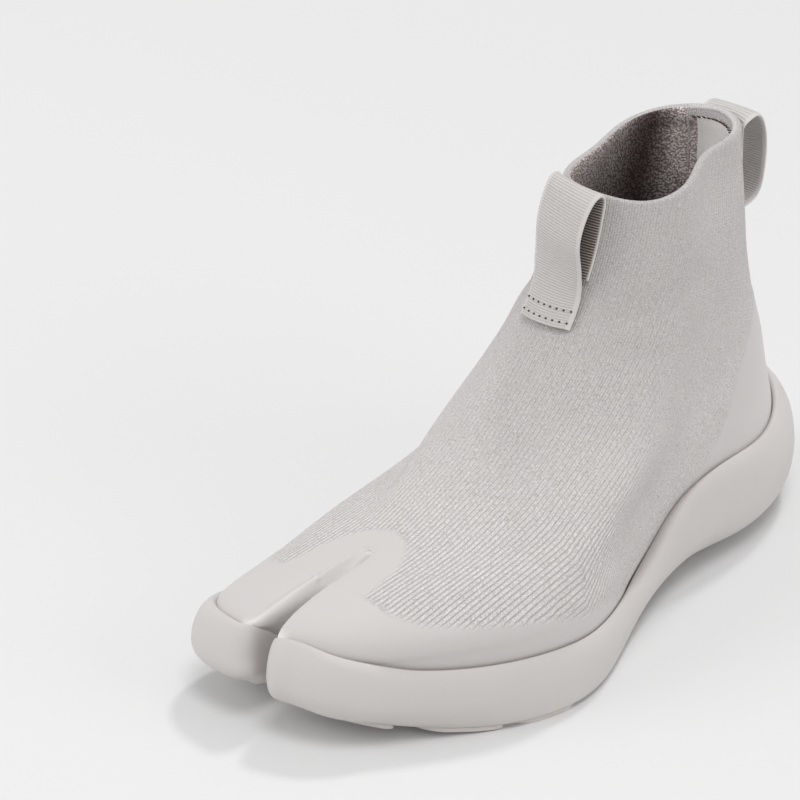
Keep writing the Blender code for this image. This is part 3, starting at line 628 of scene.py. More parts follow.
class Paint:
    """A material with short calls for its nodes."""

    def __init__(self, name, **constants):
        self.material = bpy.data.materials.new(name)
        self.material.use_nodes = True
        self.tree = self.material.node_tree
        self.shader = self.tree.nodes["Principled BSDF"]
        for socket, value in constants.items():
            self.shader.inputs[socket.replace("_", " ")].default_value = value

    def node(self, kind, **settings):
        node = self.tree.nodes.new(kind)
        for key, value in settings.items():
            setattr(node, key, value)
        return node

    def feed(self, socket, value):
        if isinstance(value, bpy.types.NodeSocket):
            self.tree.links.new(value, socket)
        else:
            socket.default_value = value

    def math(self, operation, *values, clamp=False):
        node = self.node("ShaderNodeMath", operation=operation, use_clamp=clamp)
        for socket, value in zip(node.inputs, values):
            self.feed(socket, value)
        return node.outputs[0]

    def times(self, a, b, clamp=False):
        return self.math("MULTIPLY", a, b, clamp=clamp)

    def plus(self, a, b):
        return self.math("ADD", a, b)

    def line(self, value, slope, start, clamp=False):
        return self.math("MULTIPLY_ADD", value, slope, start, clamp=clamp)

    def flip(self, value):
        return self.math("SUBTRACT", 1.0, value)

    def ramp(self, value, low, high):
        node = self.node("ShaderNodeMapRange", interpolation_type="SMOOTHSTEP")
        self.feed(node.inputs["Value"], value)
        node.inputs["From Min"].default_value = low
        node.inputs["From Max"].default_value = high
        return node.outputs["Result"]

    def mix(self, share, a, b):
        node = self.node("ShaderNodeMix", data_type="RGBA")
        self.feed(node.inputs["Factor"], share)
        self.feed(node.inputs["A"], a)
        self.feed(node.inputs["B"], b)
        return node.outputs["Result"]

    def parts(self, vector):
        node = self.node("ShaderNodeSeparateXYZ")
        self.feed(node.inputs[0], vector)
        return node.outputs

    def uv(self, layer):
        return self.parts(self.node("ShaderNodeUVMap", uv_map=layer).outputs["UV"])[:2]

    def where(self):
        return self.node("ShaderNodeTexCoord").outputs["Object"]

    def layer(self, name):
        return self.node("ShaderNodeAttribute", attribute_name=name).outputs["Fac"]

    def texture(self, kind, **values):
        node = self.node(kind)
        self.feed(node.inputs["Vector"], self.where())
        for socket, value in values.items():
            node.inputs[socket].default_value = value
        return node.outputs

    def noise(self, scale, detail=2.0, roughness=0.5):
        return self.texture("ShaderNodeTexNoise", Scale=scale, Detail=detail, Roughness=roughness)["Fac"]

    def groove(self, value):
        """1 between neighbouring ribs and 0 on them, for a rib at each whole step of value."""
        away = self.math("ABSOLUTE", self.math("SUBTRACT", self.math("FRACT", value), 0.5))
        return self.ramp(away, 0.2, 0.5)

    def wave(self, value):
        """0 to 1 and back for each whole step of value."""
        return self.line(self.math("COSINE", self.times(value, 2 * math.pi)), -0.5, 0.5)

    def bump(self, height, distance):
        node = self.node("ShaderNodeBump")
        node.inputs["Strength"].default_value = 1.0
        node.inputs["Distance"].default_value = distance
        self.feed(node.inputs["Height"], height)
        self.feed(self.shader.inputs["Normal"], node.outputs["Normal"])

    def colour(self, value):
        self.feed(self.shader.inputs["Base Color"], value)

    def rough(self, value):
        self.feed(self.shader.inputs["Roughness"], value)


def grey(r, g, b):
    return (r, g, b, 1.0)


def knit_paint():
    """Ribbed knit that turns to a smooth fused film at toe and heel."""
    p = Paint("knit", Sheen_Weight=0.12, Sheen_Roughness=0.6, Specular_IOR_Level=0.3)
    u, v = p.uv("knit")
    film = p.layer("film")
    fine = p.layer("fine")
    bare = p.flip(film)
    wide = p.groove(u)
    narrow = p.groove(p.times(u, 2.0))
    turn = p.times(p.math("FLOOR", p.times(u, 2.0)), 0.5)
    loop = p.wave(p.plus(v, turn))
    yarn = p.noise(1350.0, 2.0, 0.8)
    cloud = p.noise(60.0, 3.0)
    coarse = p.line(fine, -0.85, 1.0)
    small = p.line(fine, 0.30, 0.05)
    ditch = p.times(wide, coarse)
    ditch = p.plus(ditch, p.times(narrow, small))
    height = p.line(loop, 0.30, p.flip(ditch))
    height = p.plus(height, p.times(yarn, 1.3))
    height = p.times(height, p.line(film, -0.985, 1.0))
    p.bump(height, 0.00032)
    broken = p.line(yarn, 2.6, -0.4, clamp=True)
    gap = p.times(ditch, p.line(loop, -0.5, 1.0))
    gap = p.times(gap, broken)
    base = p.mix(cloud, grey(0.665, 0.636, 0.627), grey(0.725, 0.696, 0.686))
    base = p.mix(p.times(film, 0.9), base, grey(0.585, 0.560, 0.550))
    # Painted light: the shaded walls of the cleft and the band inside the back of the collar are made paler.
    base = p.mix(p.layer("light"), base, grey(0.90, 0.88, 0.87))
    speck = p.times(p.ramp(yarn, 0.50, 0.70), bare)
    base = p.mix(p.times(speck, 0.75), base, grey(0.92, 0.89, 0.88))
    pit = p.times(p.flip(p.ramp(yarn, 0.30, 0.50)), 0.85)
    shade = p.times(p.math("MAXIMUM", gap, pit), bare)
    colour = p.mix(p.times(shade, 0.55), base, grey(0.24, 0.215, 0.205))
    tall = p.times(p.ramp(p.parts(p.where())[2], 0.05, 0.12), 0.4)
    p.colour(p.mix(tall, colour, grey(0.34, 0.32, 0.315)))
    p.rough(p.line(film, -0.37, 0.92))
    return p.material


def lining_paint():
    """Open mesh on the inside of the upper: light yarn dots over a dark ground, with painted light and
    shade: ground and dots are darker where the inside lies in shade and paler where light reaches.
    """
    p = Paint("lining_mesh", Roughness=0.95, Specular_IOR_Level=0.15)
    painted_lining_light = p.layer("painted_lining_light")
    cells = p.texture("ShaderNodeTexVoronoi", Scale=1150.0)
    fuzz = p.noise(1100.0, 2.0, 0.7)
    dot = p.flip(p.ramp(cells["Distance"], 0.34, 0.70))
    light = p.times(dot, p.line(fuzz, 1.2, 0.3))
    # Painted shade: the dots fade and the ground darkens where the lining lies in shade.
    light = p.times(light, p.line(painted_lining_light, 1.2, 0.08), clamp=True)
    ground = p.mix(painted_lining_light, grey(0.075, 0.047, 0.044), grey(0.52, 0.435, 0.42))
    p.colour(p.mix(light, ground, grey(0.95, 0.87, 0.85)))
    p.bump(p.plus(dot, fuzz), 0.0004)
    return p.material


def foam_paint():
    """Moulded foam with a fine satin skin."""
    p = Paint("foam", Specular_IOR_Level=0.42)
    cloud = p.noise(45.0, 3.0)
    grain = p.noise(2600.0, 2.0, 0.6)
    pits = p.noise(700.0, 2.0)
    p.colour(p.mix(cloud, grey(0.59, 0.563, 0.549), grey(0.625, 0.600, 0.585)))
    p.rough(p.line(pits, 0.18, 0.42))
    p.bump(p.plus(grain, pits), 0.00003)
    return p.material


def rubber_paint():
    """Rubber of the pads with a fine moulded tread on the faces that look down."""
    p = Paint("rubber", Specular_IOR_Level=0.4)
    x, y = p.parts(p.where())[:2]
    zig = p.times(p.math("PINGPONG", x, 0.006), 0.5)
    tread = p.ramp(p.wave(p.math("DIVIDE", p.plus(y, zig), 0.0042)), 0.15, 0.5)
    normal = p.parts(p.node("ShaderNodeNewGeometry").outputs["Normal"])
    down = p.ramp(p.times(normal["Z"], -1.0), 0.6, 0.9)
    grain = p.noise(2200.0, 2.0)
    cut = p.times(p.flip(tread), down)
    p.bump(p.line(cut, -1.0, p.times(grain, 0.05)), 0.0009)
    p.colour(p.mix(p.times(cut, 0.6), grey(0.64, 0.60, 0.575), grey(0.33, 0.305, 0.29)))
    p.rough(p.line(grain, 0.2, 0.5))
    return p.material


def webbing_paint():
    """Webbing with cross ribs and a plain selvedge, with painted shade between the layers of a loop."""
    p = Paint("webbing", Sheen_Weight=0.1, Specular_IOR_Level=0.3, Roughness=0.85)
    across, along = p.uv("strap")
    strap_shade = p.layer("strap_shade")
    side = p.math("ABSOLUTE", across)
    middle = p.flip(p.ramp(side, 8.6, 9.3))
    ribs = p.wave(p.times(along, 1 / 0.95))
    picks = p.wave(p.times(across, 1 / 0.7))
    yarn = p.noise(1800.0, 1.0)
    body = p.line(picks, 0.16, ribs)
    edge = p.wave(p.times(across, 1 / 0.8))
    height = p.plus(p.times(body, middle), p.times(yarn, 0.2))
    height = p.plus(height, p.times(edge, p.line(middle, -0.3, 0.3)))
    p.bump(height, 0.00022)
    low = p.times(p.ramp(p.flip(ribs), 0.55, 1.0), middle)
    cloud = p.noise(80.0, 2.0)
    base = p.mix(cloud, grey(0.61, 0.583, 0.567), grey(0.655, 0.628, 0.61))
    base = p.mix(p.times(low, 0.36), base, grey(0.25, 0.22, 0.205))
    # Painted shade on the face between the layers of a loop.
    inner = p.mix(p.ramp(ribs, 0.55, 0.95), grey(0.10, 0.075, 0.068), grey(0.40, 0.36, 0.335))
    p.colour(p.mix(strap_shade, base, inner))
    return p.material


def tape_paint():
    """Pale woven tape of the patch inside the collar."""
    p = Paint("tape", Roughness=0.9, Specular_IOR_Level=0.2)
    across, up = p.uv("strap")
    weave = p.wave(p.times(p.plus(across, up), 1 / 0.9))
    yarn = p.noise(1500.0, 2.0, 0.7)
    body = p.line(weave, 0.4, yarn)
    p.colour(p.mix(p.ramp(body, 0.3, 0.9), grey(0.84, 0.805, 0.79), grey(0.98, 0.95, 0.935)))
    p.bump(body, 0.0002)
    return p.material


def insole_paint():
    """Matt cloth of the insole."""
    p = Paint("insole_cloth", Roughness=0.95, Specular_IOR_Level=0.2)
    weave = p.noise(1400.0, 2.0, 0.7)
    p.colour(p.mix(weave, grey(0.25, 0.225, 0.21), grey(0.42, 0.385, 0.36)))
    p.bump(weave, 0.0003)
    return p.material


def plain_paint(name, colour, roughness, scale, bump):
    """One colour with a little yarn noise, for threads and holes."""
    p = Paint(name, Roughness=roughness)
    fuzz = p.noise(scale, 2.0)
    p.colour(p.mix(fuzz, colour, grey(*(0.8 * c for c in colour[:3]))))
    p.bump(fuzz, bump)
    return p.material


def section_angle(points):
    """Angle round a line inside the forefoot, 0 at the top and positive to the outer side."""
    return np.arctan2(points[..., 0] - RIB_AXIS[0], points[..., 2] - RIB_AXIS[1])


def section_arcs(grid, main):
    """Ribs across the forefoot, counted from its middle, at the rib stations and angles."""
    arcs = []
    for station in RIB_STATIONS:
        ahead = grid[:, :main, 1] >= station
        k, c = np.nonzero(ahead[1:] != ahead[:-1])
        low = grid[k, c]
        high = grid[k + 1, c]
        share = (low[:, 1] - station) / (low[:, 1] - high[:, 1])
        points = low + share[:, None] * (high - low)
        angle = section_angle(points)
        order = np.argsort(angle)
        move = np.diff(points[order], axis=0)
        step = np.hypot(move[:, 0] / RIB_PITCH, move[:, 2] / RIB_SIDE_PITCH)
        arc = np.interp(RIB_ANGLES, angle[order], running(step))
        arcs.append(arc - np.interp(0, RIB_ANGLES, arc))
    return np.array(arcs)


def place_among(marks, values):
    """The mark below each value, and the share of the way to the next, for even marks."""
    place = np.clip((values - marks[0]) / (marks[1] - marks[0]), 0, len(marks) - 1.001)
    index = place.astype(int)
    return index, place - index


def rib_steps(here, there):
    """Ribs crossed between neighbouring columns behind the kink, where the ribs lean back and up."""
    move = there - here
    lean = RIB_LEAN[0] + (RIB_LEAN[1] - RIB_LEAN[0]) * fade(here[:, 2], *RIB_LEAN_HEIGHT)
    fall = move[:, 1] * np.sin(lean) + move[:, 2] * np.cos(lean)
    return np.hypot(move[:, 0] / RIB_PITCH, fall / RIB_SIDE_PITCH)


def rib_field(grid, heel, main):
    """Rib count and length along the rib at every point, and the rib count for the inner side of the
    back seam. Ahead of the kink the ribs run along the forefoot; behind it they lean up the shaft."""
    station = grid[:, :, 1]
    count = grid.shape[1]
    arcs = section_arcs(grid, main)
    i, a = place_among(RIB_STATIONS, station)
    j, b = place_among(RIB_ANGLES, section_angle(grid))
    field = (1 - a) * ((1 - b) * arcs[i, j] + b * arcs[i, j + 1])
    field += a * ((1 - b) * arcs[i + 1, j] + b * arcs[i + 1, j + 1])
    field += RIB_DRIFT * (station - KINK_STATION)
    ahead = station >= KINK_STATION
    for c in (0, count - 1):
        field[:, c] = np.where(ahead[:, c], field[:, c], (grid[:, c, 0] - RIB_AXIS[0]) / RIB_PITCH)
    outer_side = [(c, c - 1, 1) for c in range(1, heel + 1)]
    inner_side = [(c, c + 1, -1) for c in range(count - 2, heel, -1)]
    for c, last, sign in outer_side + inner_side:
        beside = field[:, last] + sign * rib_steps(grid[:, last], grid[:, c])
        field[:, c] = np.where(ahead[:, c], field[:, c], beside)
    seam = field[:, heel + 1] - rib_steps(grid[:, heel + 1], grid[:, heel])
    lean = RIB_LEAN[0] * fade(station, *RIB_TURN)
    lean += (RIB_LEAN[1] - RIB_LEAN[0]) * fade(grid[:, :, 2], *RIB_LEAN_HEIGHT)
    length = (KINK_STATION - station) * np.cos(lean) + grid[:, :, 2] * np.sin(lean)
    return field, length, seam


def film_layer(outer):
    """The film of the part, and the film round the end of the cleft."""
    x, station, height = np.moveaxis(outer, 2, 0)
    reach = np.interp(station, CLEFT_FILM["station"], CLEFT_FILM["reach"])
    near = fade(reach - np.abs(x - cleft_x(station)), 0, CLEFT_FILM_FADE)
    near *= (station > CLEFT_FILM_STATION) & (height < CLEFT_FILM_HEIGHT)
    return np.maximum(film_share(knit_grid(KNIT_LEVELS, True)), near)


def cleft_painted_light(rings, outer_count):
    """1 on the steep walls of the cleft, which the photo shows paler than the film: painted light on walls
    that lie in shade.
    """
    x, station, height = np.moveaxis(rings, 2, 0)
    light = fade(grid_normals(rings)[:, :, 2], *CLEFT_PAINTED_LIGHT_SLOPE)
    light *= fade(np.abs(x - cleft_x(station)), *CLEFT_PAINTED_LIGHT_REACH) * fade(station, *CLEFT_PAINTED_LIGHT_STATION)
    light *= fade(height, *CLEFT_PAINTED_LIGHT_HEIGHT)
    return light * (np.arange(len(rings)) < outer_count)[:, None]


def collar_crown(outer_edge, inner_edge):
    """Rings over the rolled edge between the two faces of the collar."""
    middle = 0.5 * (outer_edge + inner_edge)
    half = 0.5 * (outer_edge - inner_edge)
    lift = np.linalg.norm(half, axis=1)[:, None] * np.array((0, 0, CROWN_RISE))
    return np.stack([middle + half * np.cos(a) + lift * np.sin(a) for a in CROWN_ANGLES])


def make_upper(shoe, knit, lining):
    """The knit outside, the rolled collar and the lining inside, as one shell."""
    outer = outer_grid(KNIT_LEVELS, fine=True)
    heel = shoe.place["heel"] * FINE
    count = outer.shape[1]
    field, length, seam = rib_field(outer, heel, shoe.place["lip_med"] * FINE + 1)
    film = film_layer(outer)
    outer = outer + grid_normals(outer) * crease_lift(outer)[:, :, None]
    inner = inner_grid(LINING_LEVELS, fine=True)
    inner[-1, :, 2] = outer[-1, :, 2]
    crown = collar_crown(outer[-1], inner[-1])
    rings = np.concatenate((outer, crown, inner[::-1]))
    faces = quads(len(rings), count)
    thing = make_piece("upper_knit", rings.reshape(-1, 3), faces, (knit, lining))
    mesh = thing.data
    over = len(crown)
    turn = len(outer) + over
    ring = np.arange(len(rings))[:, None]
    x, station, height = np.moveaxis(rings, 2, 0)
    fine = sum(share * fade(height, start, run) for share, start, run in FINE_RIBS)
    fine = np.maximum(fine, FINE_RIBS_BACK * fade(station, *FINE_RIBS_STATION))
    # Painted light and shade on the lining: paler where light reaches it, by station, and only towards the
    # top.
    painted_lining_light = np.interp(station, LINING_PAINTED_LIGHT["station"], LINING_PAINTED_LIGHT["share"])
    at_back = (station < COLLAR_BAND_STATION) & (x > COLLAR_SEAM_X)
    # Painted light on the last rows inside the back of the collar, which lie in shade.
    painted_light_band = at_back & (ring >= turn - PAINTED_LIGHT_EDGE_ROWS)
    point_values(mesh, "film", np.concatenate((film, np.zeros((over + len(inner), count)))))
    point_values(mesh, "fine", fine)
    point_values(mesh, "painted_lining_light", painted_lining_light * fade(height, *LINING_PAINTED_LIGHT_HEIGHT))
    # The light layer is painted light: paler knit on the shaded walls of the cleft and on the shaded band
    # inside the back of the collar.
    point_values(mesh, "light", np.maximum(cleft_painted_light(rings, len(outer)), painted_light_band))
    back = np.interp(LINING_LEVELS[::-1], KNIT_LEVELS, np.arange(len(KNIT_LEVELS))).astype(int)
    crown_length = length[-1] + np.arange(1, over + 1)[:, None] * CROWN_STEP
    u = np.concatenate((field, np.repeat(field[-1:], over, axis=0), field[back])).reshape(-1)[faces]
    v = np.concatenate((length, crown_length, length[back])).reshape(-1)[faces]
    row, column = np.divmod(np.arange(len(faces)), count)
    strip = column == heel
    seams = np.concatenate((seam, np.repeat(seam[-1:], over), seam[back]))
    u[strip, 0] = seams[row[strip]]
    u[strip, 3] = seams[row[strip] + 1]
    layer = mesh.uv_layers.new(name="knit")
    layer.data.foreach_set("uv", np.stack((u, v), axis=2).astype(np.float32).ravel())
    edge = np.where(at_back.reshape(-1)[faces[:, 0]], turn + COLLAR_BAND_ROWS, turn - LINING_EDGE_ROWS)
    mesh.polygons.foreach_set("material_index", (row >= edge).astype(np.int32))
    outward(thing)
    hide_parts("upper")


def make_midsole(shoe, foam):
    """The foam midsole with its rolled top edge, tray and underside; gives its bottom edge."""
    side = side_values(shoe)
    top = side["top"]
    wall = shoe.ring_at(top)
    foot = offset_ring(wall, side["bottom"])
    underside = underside_at(foot[:, 1])
    rings = []
    for i, share in enumerate(SIDE_WALL["share"]):
        offset = sum(SIDE_WALL[name][i] * side[name] for name in ("bottom", "bulge", "roll"))
        height = underside + share * (top - underside)
        rings.append(np.column_stack((offset_ring(wall, offset), height)))
    outside_count = len(rings)
    floor = height_along(TRAY_FLOOR, shoe.grid[0, :, 1])
    for share in TRAY_SHARES:
        height = floor + share * (top - floor)
        ring = shoe.ring_at(np.maximum(height, shoe.grid[0, :, 2]))
        rings.append(np.column_stack((ring + plan_normals(ring) * TRAY_GAP, height)))
    rings = closed_spline(rings, MIDSOLE_STEP)
    outside = spline(np.arange(outside_count), rings[:outside_count], WALL_LEVELS)
    outside[:, :, 2] = np.maximum(outside[:, :, 2], outside[0, :, 2])
    rings = np.concatenate((outside, rings[outside_count:]))
    count = rings.shape[1]
    first = len(rings) * count
    spread, triangles = fill_ring(rings[0, :, :2], CAP_SPACING)
    cap = np.column_stack((spread, underside_at(spread[:, 1])))
    faces = list(quads(len(rings), count))
    faces += [tuple(i if i < count else first + i - count for i in f) for f in triangles]
    thing = make_piece("midsole_foam", np.concatenate((rings.reshape(-1, 3), cap)), faces, (foam,))
    outward(thing)
    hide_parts("midsole")
    return foot


def inside(outline, points):
    ahead = np.roll(outline, -1, axis=0)
    result = np.zeros(len(points), bool)
    for (x0, s0), (x1, s1) in zip(outline, ahead):
        crosses = (s0 > points[:, 1]) != (s1 > points[:, 1])
        reach = x0 + (points[:, 1] - s0) * (x1 - x0) / (s1 - s0 + 1e-12)
        result ^= crosses & (points[:, 0] < reach)
    return result


def fill_ring(outline, spacing):
    """Points spread inside a closed plan outline, and triangles over both."""
    low = outline.min(axis=0)
    high = outline.max(axis=0)
    xs = np.arange(low[0] + 0.5 * spacing, high[0], spacing)
    stations = np.arange(low[1] + 0.5 * spacing, high[1], spacing)
    spread = np.array([(x, s) for s in stations for x in xs])
    spread = spread[inside(outline, spread)]
    reach = np.linalg.norm(spread[:, None] - outline[None], axis=2).min(axis=1)
    spread = spread[reach > CAP_CLEAR * spacing]
    count = len(outline)
    places = [Vector(point) for point in np.concatenate((outline, spread))]
    edges = [(i, (i + 1) % count) for i in range(count)]
    triangles, origins = delaunay_2d_cdt(places, edges, [], 1, 1e-6)[2:4]
    index = [o[0] for o in origins]
    return spread, [tuple(index[corner] for corner in face) for face in triangles]


def edge_at(ring, picked, station):
    line = ring[picked]
    line = line[np.argsort(line[:, 1])]
    return np.interp(station, line[:, 1], line[:, 0])


def bevel(thing, width, segments):
    modifier = thing.modifiers.new("edge", "BEVEL")
    modifier.width = width * MM
    modifier.segments = segments
    modifier.limit_method = "ANGLE"
    modifier.angle_limit = BEVEL_ANGLE


def make_pads(shoe, foot, rubber):
    """The rubber pads under the midsole, between stations and inset from its bottom edge."""
    place = shoe.place
    outer = list(range(place["lip_lat"], place["heel"] + 1))
    inner = list(range(place["heel"], place["lip_med"] + 1))
    cleft_inner = list(range(place["lip_med"], place["root"] + 1))
    cleft_outer = list(range(place["root"], shoe.count)) + [0]
    sides = {"whole": (inner, outer), "inner_lobe": (inner, cleft_inner), "outer_lobe": (cleft_outer, outer)}
    for name, (first, last, region, inset) in PADS.items():
        low_columns, high_columns = sides[region]
        stations = first + (last - first) * (0.5 - 0.5 * np.cos(np.linspace(0, np.pi, PAD_STEPS)))
        end = np.clip(PAD_CORNER - np.minimum(stations - first, last - stations), 0, None)
        corner = inset + PAD_CORNER - np.sqrt(PAD_CORNER ** 2 - end ** 2) * 0.999
        low = edge_at(foot, low_columns, stations) + corner
        high = edge_at(foot, high_columns, stations) - corner
        x = low[:, None] + (high - low)[:, None] * np.linspace(0, 1, PAD_COLUMNS)
        station = np.broadcast_to(stations[:, None], x.shape)
        upper_face = np.stack((x, station, underside_at(station) - GAP), axis=2)
        lower_face = upper_face - (0, 0, PAD_THICKNESS)
        loops = np.concatenate((upper_face, lower_face[:, ::-1]), axis=1)
        thing = make_bar(name + "_rubber", loops, rubber, PAD_SHARP)
        outward(thing)
        bevel(thing, PAD_BEVEL, 2)
        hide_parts(name)


def make_insole(cloth):
    """The insole of the part with a rounded edge and its own cloth."""
    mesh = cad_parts["insole"].data.copy()
    mesh.name = "insole_pad"
    mesh.materials.clear()
    mesh.materials.append(cloth)
    thing = add_object("insole_pad", mesh)
    outward(thing, weld=1e-6)
    mesh.shade_smooth()
    mesh.set_sharp_from_angle(angle=INSOLE_SHARP)
    bevel(thing, INSOLE_BEVEL, 3)
    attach(thing, "root")
    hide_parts("insole")


def strap_lines(shoe, table, picked, side, tilt, twist, across):
    """Centre lines and normals of a strap at each place across its width."""
    knots = np.arange(len(table["off"]))
    along = np.linspace(0, knots[-1], STRAP_STEPS)
    off = np.clip(spline(knots, table["off"], along), 0, None)
    rise = spline(knots, table["height"], along)
    middle = STRAP_GAP + 0.5 * STRAP_THICKNESS
    curl = 1 - STRAP_FLATTENING * fade(off, 0, STRAP_CLEAR)
    level = shoe.seats(shoe.grid, 0, rise, picked)
    centres = []
    normals = []
    for x in across:
        height = rise + tilt * x * fade(rise, *STRAP_TILT)
        seat = shoe.seats(shoe.grid, x, height, picked)
        above = shoe.seats(shoe.grid, x, height + 1, picked)
        beside = shoe.seats(shoe.grid, x - np.sign(x), height, picked)
        lean = np.sqrt(1 + (above - seat) ** 2 + (beside - seat) ** 2)
        spread = 1 - twist * (0.5 - x / STRAP_WIDTH)
        station = level + (seat - level) * curl + side * (middle * lean + off * spread)
        centre = np.column_stack((station, height))
        direction = normalised(np.gradient(centre, axis=0))
        normals.append(np.column_stack((direction[:, 1], -direction[:, 0])) * side)
        centres.append(centre)
    return np.array(centres), np.array(normals)


def make_strap(name, node, shoe, table, picked, side, tilt, twist, strap_shade, webbing):
    """A strap of webbing with rounded edges, and the lengths that its ribs are counted by."""
    share = np.sin(np.linspace(-0.5, 0.5, STRAP_COLUMNS) * np.pi)
    across = 0.5 * STRAP_WIDTH * share
    centres, normals = strap_lines(shoe, table, picked, side, tilt, twist, across)
    fullness = np.clip(1 - np.abs(share) ** STRAP_EDGE_POWER, STRAP_EDGE_LEAST, 1)
    half = 0.5 * STRAP_THICKNESS * np.sqrt(fullness)
    front = centres + normals * half[:, None, None]
    back = centres - normals * half[:, None, None]
    lines = np.concatenate((front, back[::-1]))
    x = np.concatenate((across, across[::-1]))
    loops = np.stack([np.column_stack((x, lines[:, k])) for k in range(STRAP_STEPS)])
    thing = make_bar(name, loops, webbing, STRAP_SHARP)
    run = np.linalg.norm(np.diff(centres[len(across) // 2], axis=0), axis=1)
    along = running(run)
    shape = loops.shape[:2]
    flat = np.stack((np.broadcast_to(x, shape), np.broadcast_to(along[:, None], shape)), axis=2)
    vertex_uv(thing.data, "strap", flat.reshape(-1, 2))
    # Painted shade on the strap's back face, between the layers of the loop; full on the front loop, a fifth
    # on the rear.
    within = np.concatenate((np.zeros(len(share)), np.abs(share[::-1]) < STRAP_SHADE_WIDTH))
    point_values(thing.data, "strap_shade", np.broadcast_to(strap_shade * within, shape))
    outward(thing)
    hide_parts(node)
    return centres, normals, across, along


def make_patch(shoe, tape):
    """The flat end of the rear loop on the inside of the collar."""
    picked = shoe.back_columns()
    heights = np.linspace(*PATCH_HEIGHTS, PATCH_ROWS)
    across = PATCH_X + np.linspace(-0.5, 0.5, PATCH_COLUMNS) * PATCH_WIDTH
    seat = np.array([shoe.seats(shoe.inner, x, heights, picked) for x in across]).T
    x = np.broadcast_to(across, seat.shape)
    z = np.broadcast_to(heights[:, None], seat.shape)
    rear = np.stack((x, seat + PATCH_GAP, z), axis=2)
    loops = np.concatenate((rear, rear[:, ::-1] + (0, PATCH_THICKNESS, 0)), axis=1)
    thing = make_bar("collar_patch_webbing", loops, tape, PATCH_SHARP)
    vertex_uv(thing.data, "strap", loops.reshape(-1, 3)[:, (0, 2)])
    outward(thing)
    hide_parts("collar_patch")


def make_stitches(name, places, direction, normal, size, paint):
    """Short rounded bars on a surface, one for each place, in one piece."""
    length, width = size
    across = normalised(np.cross(normal, direction))
    up = np.cross(direction, across)
    ball = bmesh.new()
    bmesh.ops.create_uvsphere(ball, u_segments=8, v_segments=6, radius=0.5)
    unit = np.array([v.co[:] for v in ball.verts])
    unit_faces = [[v.index for v in f.verts] for f in ball.faces]
    ball.free()
    bar = unit[:, :1] * direction * length + unit[:, 1:2] * across * width
    bar = bar + unit[:, 2:] * up * STITCH_FLATNESS * width
    points = np.concatenate([place + bar for place in places])
    faces = [[k * len(unit) + i for i in f] for k in range(len(places)) for f in unit_faces]
    thing = make_piece(name, points, faces, (paint,))
    outward(thing)


def strap_stitches(name, strap, distances, paint, thread):
    """Rows of needle holes with thread between them on the front of a strap."""
    centres, normals, across, along = strap
    holes = []
    bars = []
    ups = []
    for distance in distances:
        k = int(np.argmin(np.abs(along - distance)))
        row = centres[:, k] + normals[:, k] * (0.5 * STRAP_THICKNESS + STITCH_LIFT)
        station = np.interp(STITCH_SPOTS, across, row[:, 0])
        height = np.interp(STITCH_SPOTS, across, row[:, 1])
        line = np.column_stack((STITCH_SPOTS, station, height))
        holes += list(line)
        bars += list(0.5 * (line[1:] + line[:-1]))
        ups.append(normals[len(across) // 2, k])
    up = np.array((0, *ups[0]))
    run = np.array((1.0, 0.0, 0.0))
    make_stitches(name + "_holes", holes, run, up, HOLE_SIZE, paint)
    make_stitches(name + "_thread", bars, run, up, THREAD_SIZE, thread)


def inside_line(shoe, across, heights):
    """Points on the inside of the back of the collar, one for each x and height."""
    picked = shoe.back_columns()
    stations = [shoe.seats(shoe.inner, x, np.array((z,)), picked)[0] for x, z in zip(across, heights)]
    return np.column_stack((across, stations, heights))


def make_collar_seams(shoe, hole, thread):
    """The stitch line under the rolled edge at the back and the seam down beside the patch."""
    sideways, forward, upward = np.eye(3)
    half = 0.5 * PATCH_WIDTH
    across = np.arange(PATCH_X - half - COLLAR_STITCH_PAST, PATCH_X + half, COLLAR_STITCH_STEP)
    places = inside_line(shoe, across, np.full(len(across), PATCH_HEIGHTS[1] + COLLAR_STITCH_RISE))
    places[:, 1] += PATCH_GAP + PATCH_THICKNESS
    make_stitches("collar_stitch", places, sideways, forward, COLLAR_STITCH_SIZE, hole)
    places = inside_line(shoe, np.full(len(COLLAR_SEAM_HEIGHTS), COLLAR_SEAM_X), COLLAR_SEAM_HEIGHTS)
    places[:, 1] += COLLAR_SEAM_LIFT
    make_stitches("collar_seam", places, upward, forward, COLLAR_SEAM_SIZE, thread)


def make_floor():
    corners = [(x * FLOOR_REACH, y * FLOOR_REACH, 0) for x, y in ((-1, -1), (1, -1), (1, 1), (-1, 1))]
    mesh = bpy.data.meshes.new("floor")
    mesh.from_pydata(corners, [], [(0, 1, 2, 3)])
    p = Paint("floor_paint", Roughness=0.9, Specular_IOR_Level=0.1)
    p.colour(grey(0.75, 0.75, 0.75))
    mesh.materials.append(p.material)
    floor = add_object("floor", mesh)


def add_light(name, kind, place, target, energy, **settings):
    light = bpy.data.lights.new(name, kind)
    light.energy = energy
    for key, value in settings.items():
        setattr(light, key, value)
    thing = add_object(name, light)
    thing.location = place
    thing.rotation_euler = (Vector(target) - Vector(place)).to_track_quat("-Z", "Y").to_euler()


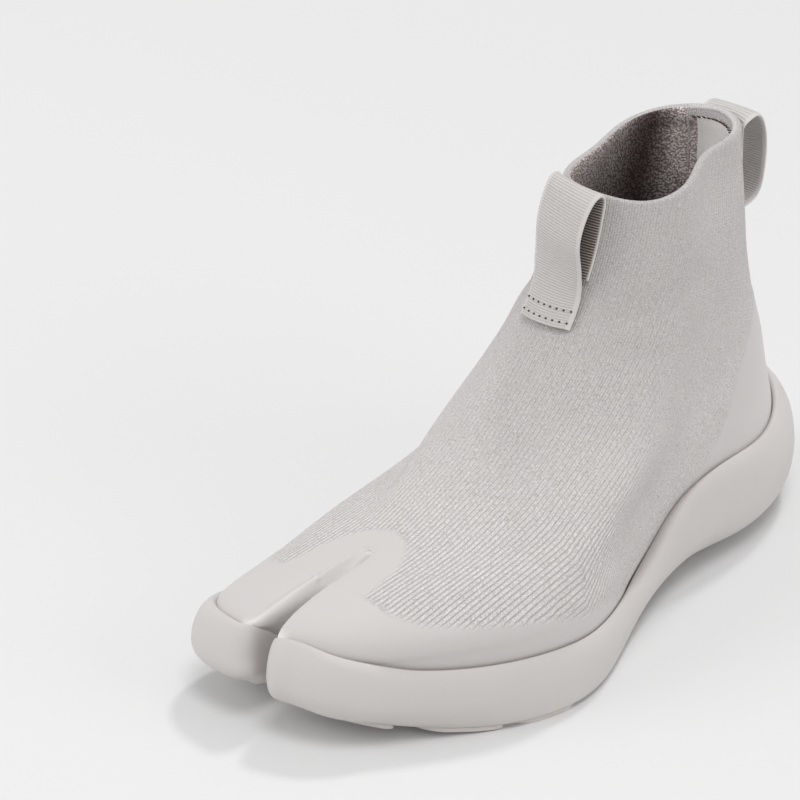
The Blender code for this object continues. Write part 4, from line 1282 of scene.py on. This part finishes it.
def make_camera():
    flat = math.cos(ELEVATION)
    back = Vector((math.sin(AZIMUTH) * flat, -math.cos(AZIMUTH) * flat, math.sin(ELEVATION)))
    right = Vector((math.cos(AZIMUTH), math.sin(AZIMUTH), 0))
    up = back.cross(right)
    turned = math.cos(ROLL) * right + math.sin(ROLL) * up
    head = math.cos(ROLL) * up - math.sin(ROLL) * right
    data = bpy.data.cameras.new("camera")
    data.lens = LENS
    data.sensor_width = SENSOR
    data.clip_end = CLIP_END
    camera = add_object("camera", data)
    matrix = Matrix((turned, head, back)).transposed().to_4x4()
    matrix.translation = TARGET + back * DISTANCE
    camera.matrix_world = matrix
    bpy.context.scene.camera = camera


def make_light():
    scene = bpy.context.scene
    scene.view_settings.view_transform = "Standard"
    world = bpy.data.worlds.new("studio")
    world.use_nodes = True
    background = world.node_tree.nodes["Background"].inputs
    background["Color"].default_value = grey(1, 1, 1)
    background["Strength"].default_value = WORLD_STRENGTH
    scene.world = world
    add_light("key", "SUN", (0, 0, 0), (-0.25, 0.20, -1), 0.88, angle=math.radians(25))
    add_light("rim", "SUN", (0, 0, 0), (0.14, -0.60, -1), 0.70, angle=math.radians(8))
    add_light("fill_right", "AREA", (1.8, 0.45, 0.8), SHOE_MIDDLE, 7.5, shape="DISK", size=1.6)
    add_light("fill_left", "AREA", (-1.1, -1.55, 1.0), SHOE_MIDDLE, 14.0, shape="DISK", size=1.6)
    add_light("collar_fill", "SPOT", (-0.12, -0.80, 0.76), COLLAR_INSIDE, 8.5, spot_size=math.radians(2.8),
              spot_blend=1.0, shadow_soft_size=0.012)


def main():
    shoe = Shoe()
    webbing = webbing_paint()
    make_upper(shoe, knit_paint(), lining_paint())
    foot = make_midsole(shoe, foam_paint())
    make_pads(shoe, foot, rubber_paint())
    make_insole(insole_paint())
    # The needle holes are near black: painted shade inside the holes. The same colour draws the stitch line
    # under the collar's rolled edge.
    hole = plain_paint("needle_hole", grey(0.05, 0.04, 0.037), 0.9, 900.0, 0.0001)
    thread = plain_paint("thread", grey(0.62, 0.59, 0.57), 0.8, 2500.0, 0.0001)
    front = make_strap("front_loop_webbing", "pull_loop_front", shoe, FRONT_STRAP, shoe.front_columns(), 1,
                       FRONT_TILT, FRONT_TWIST, 1.0, webbing)
    strap_stitches("front_loop", front, FRONT_STITCH_ROWS, hole, thread)
    rear = make_strap("rear_loop_webbing", "pull_loop_rear", shoe, REAR_STRAP, shoe.back_columns(), -1,
                      0.0, 0.0, 0.2, webbing)
    strap_stitches("rear_loop", rear, REAR_STITCH_ROWS, hole, thread)
    make_patch(shoe, tape_paint())
    make_collar_seams(shoe, hole, thread)
    make_floor()
    make_light()
    make_camera()


main()
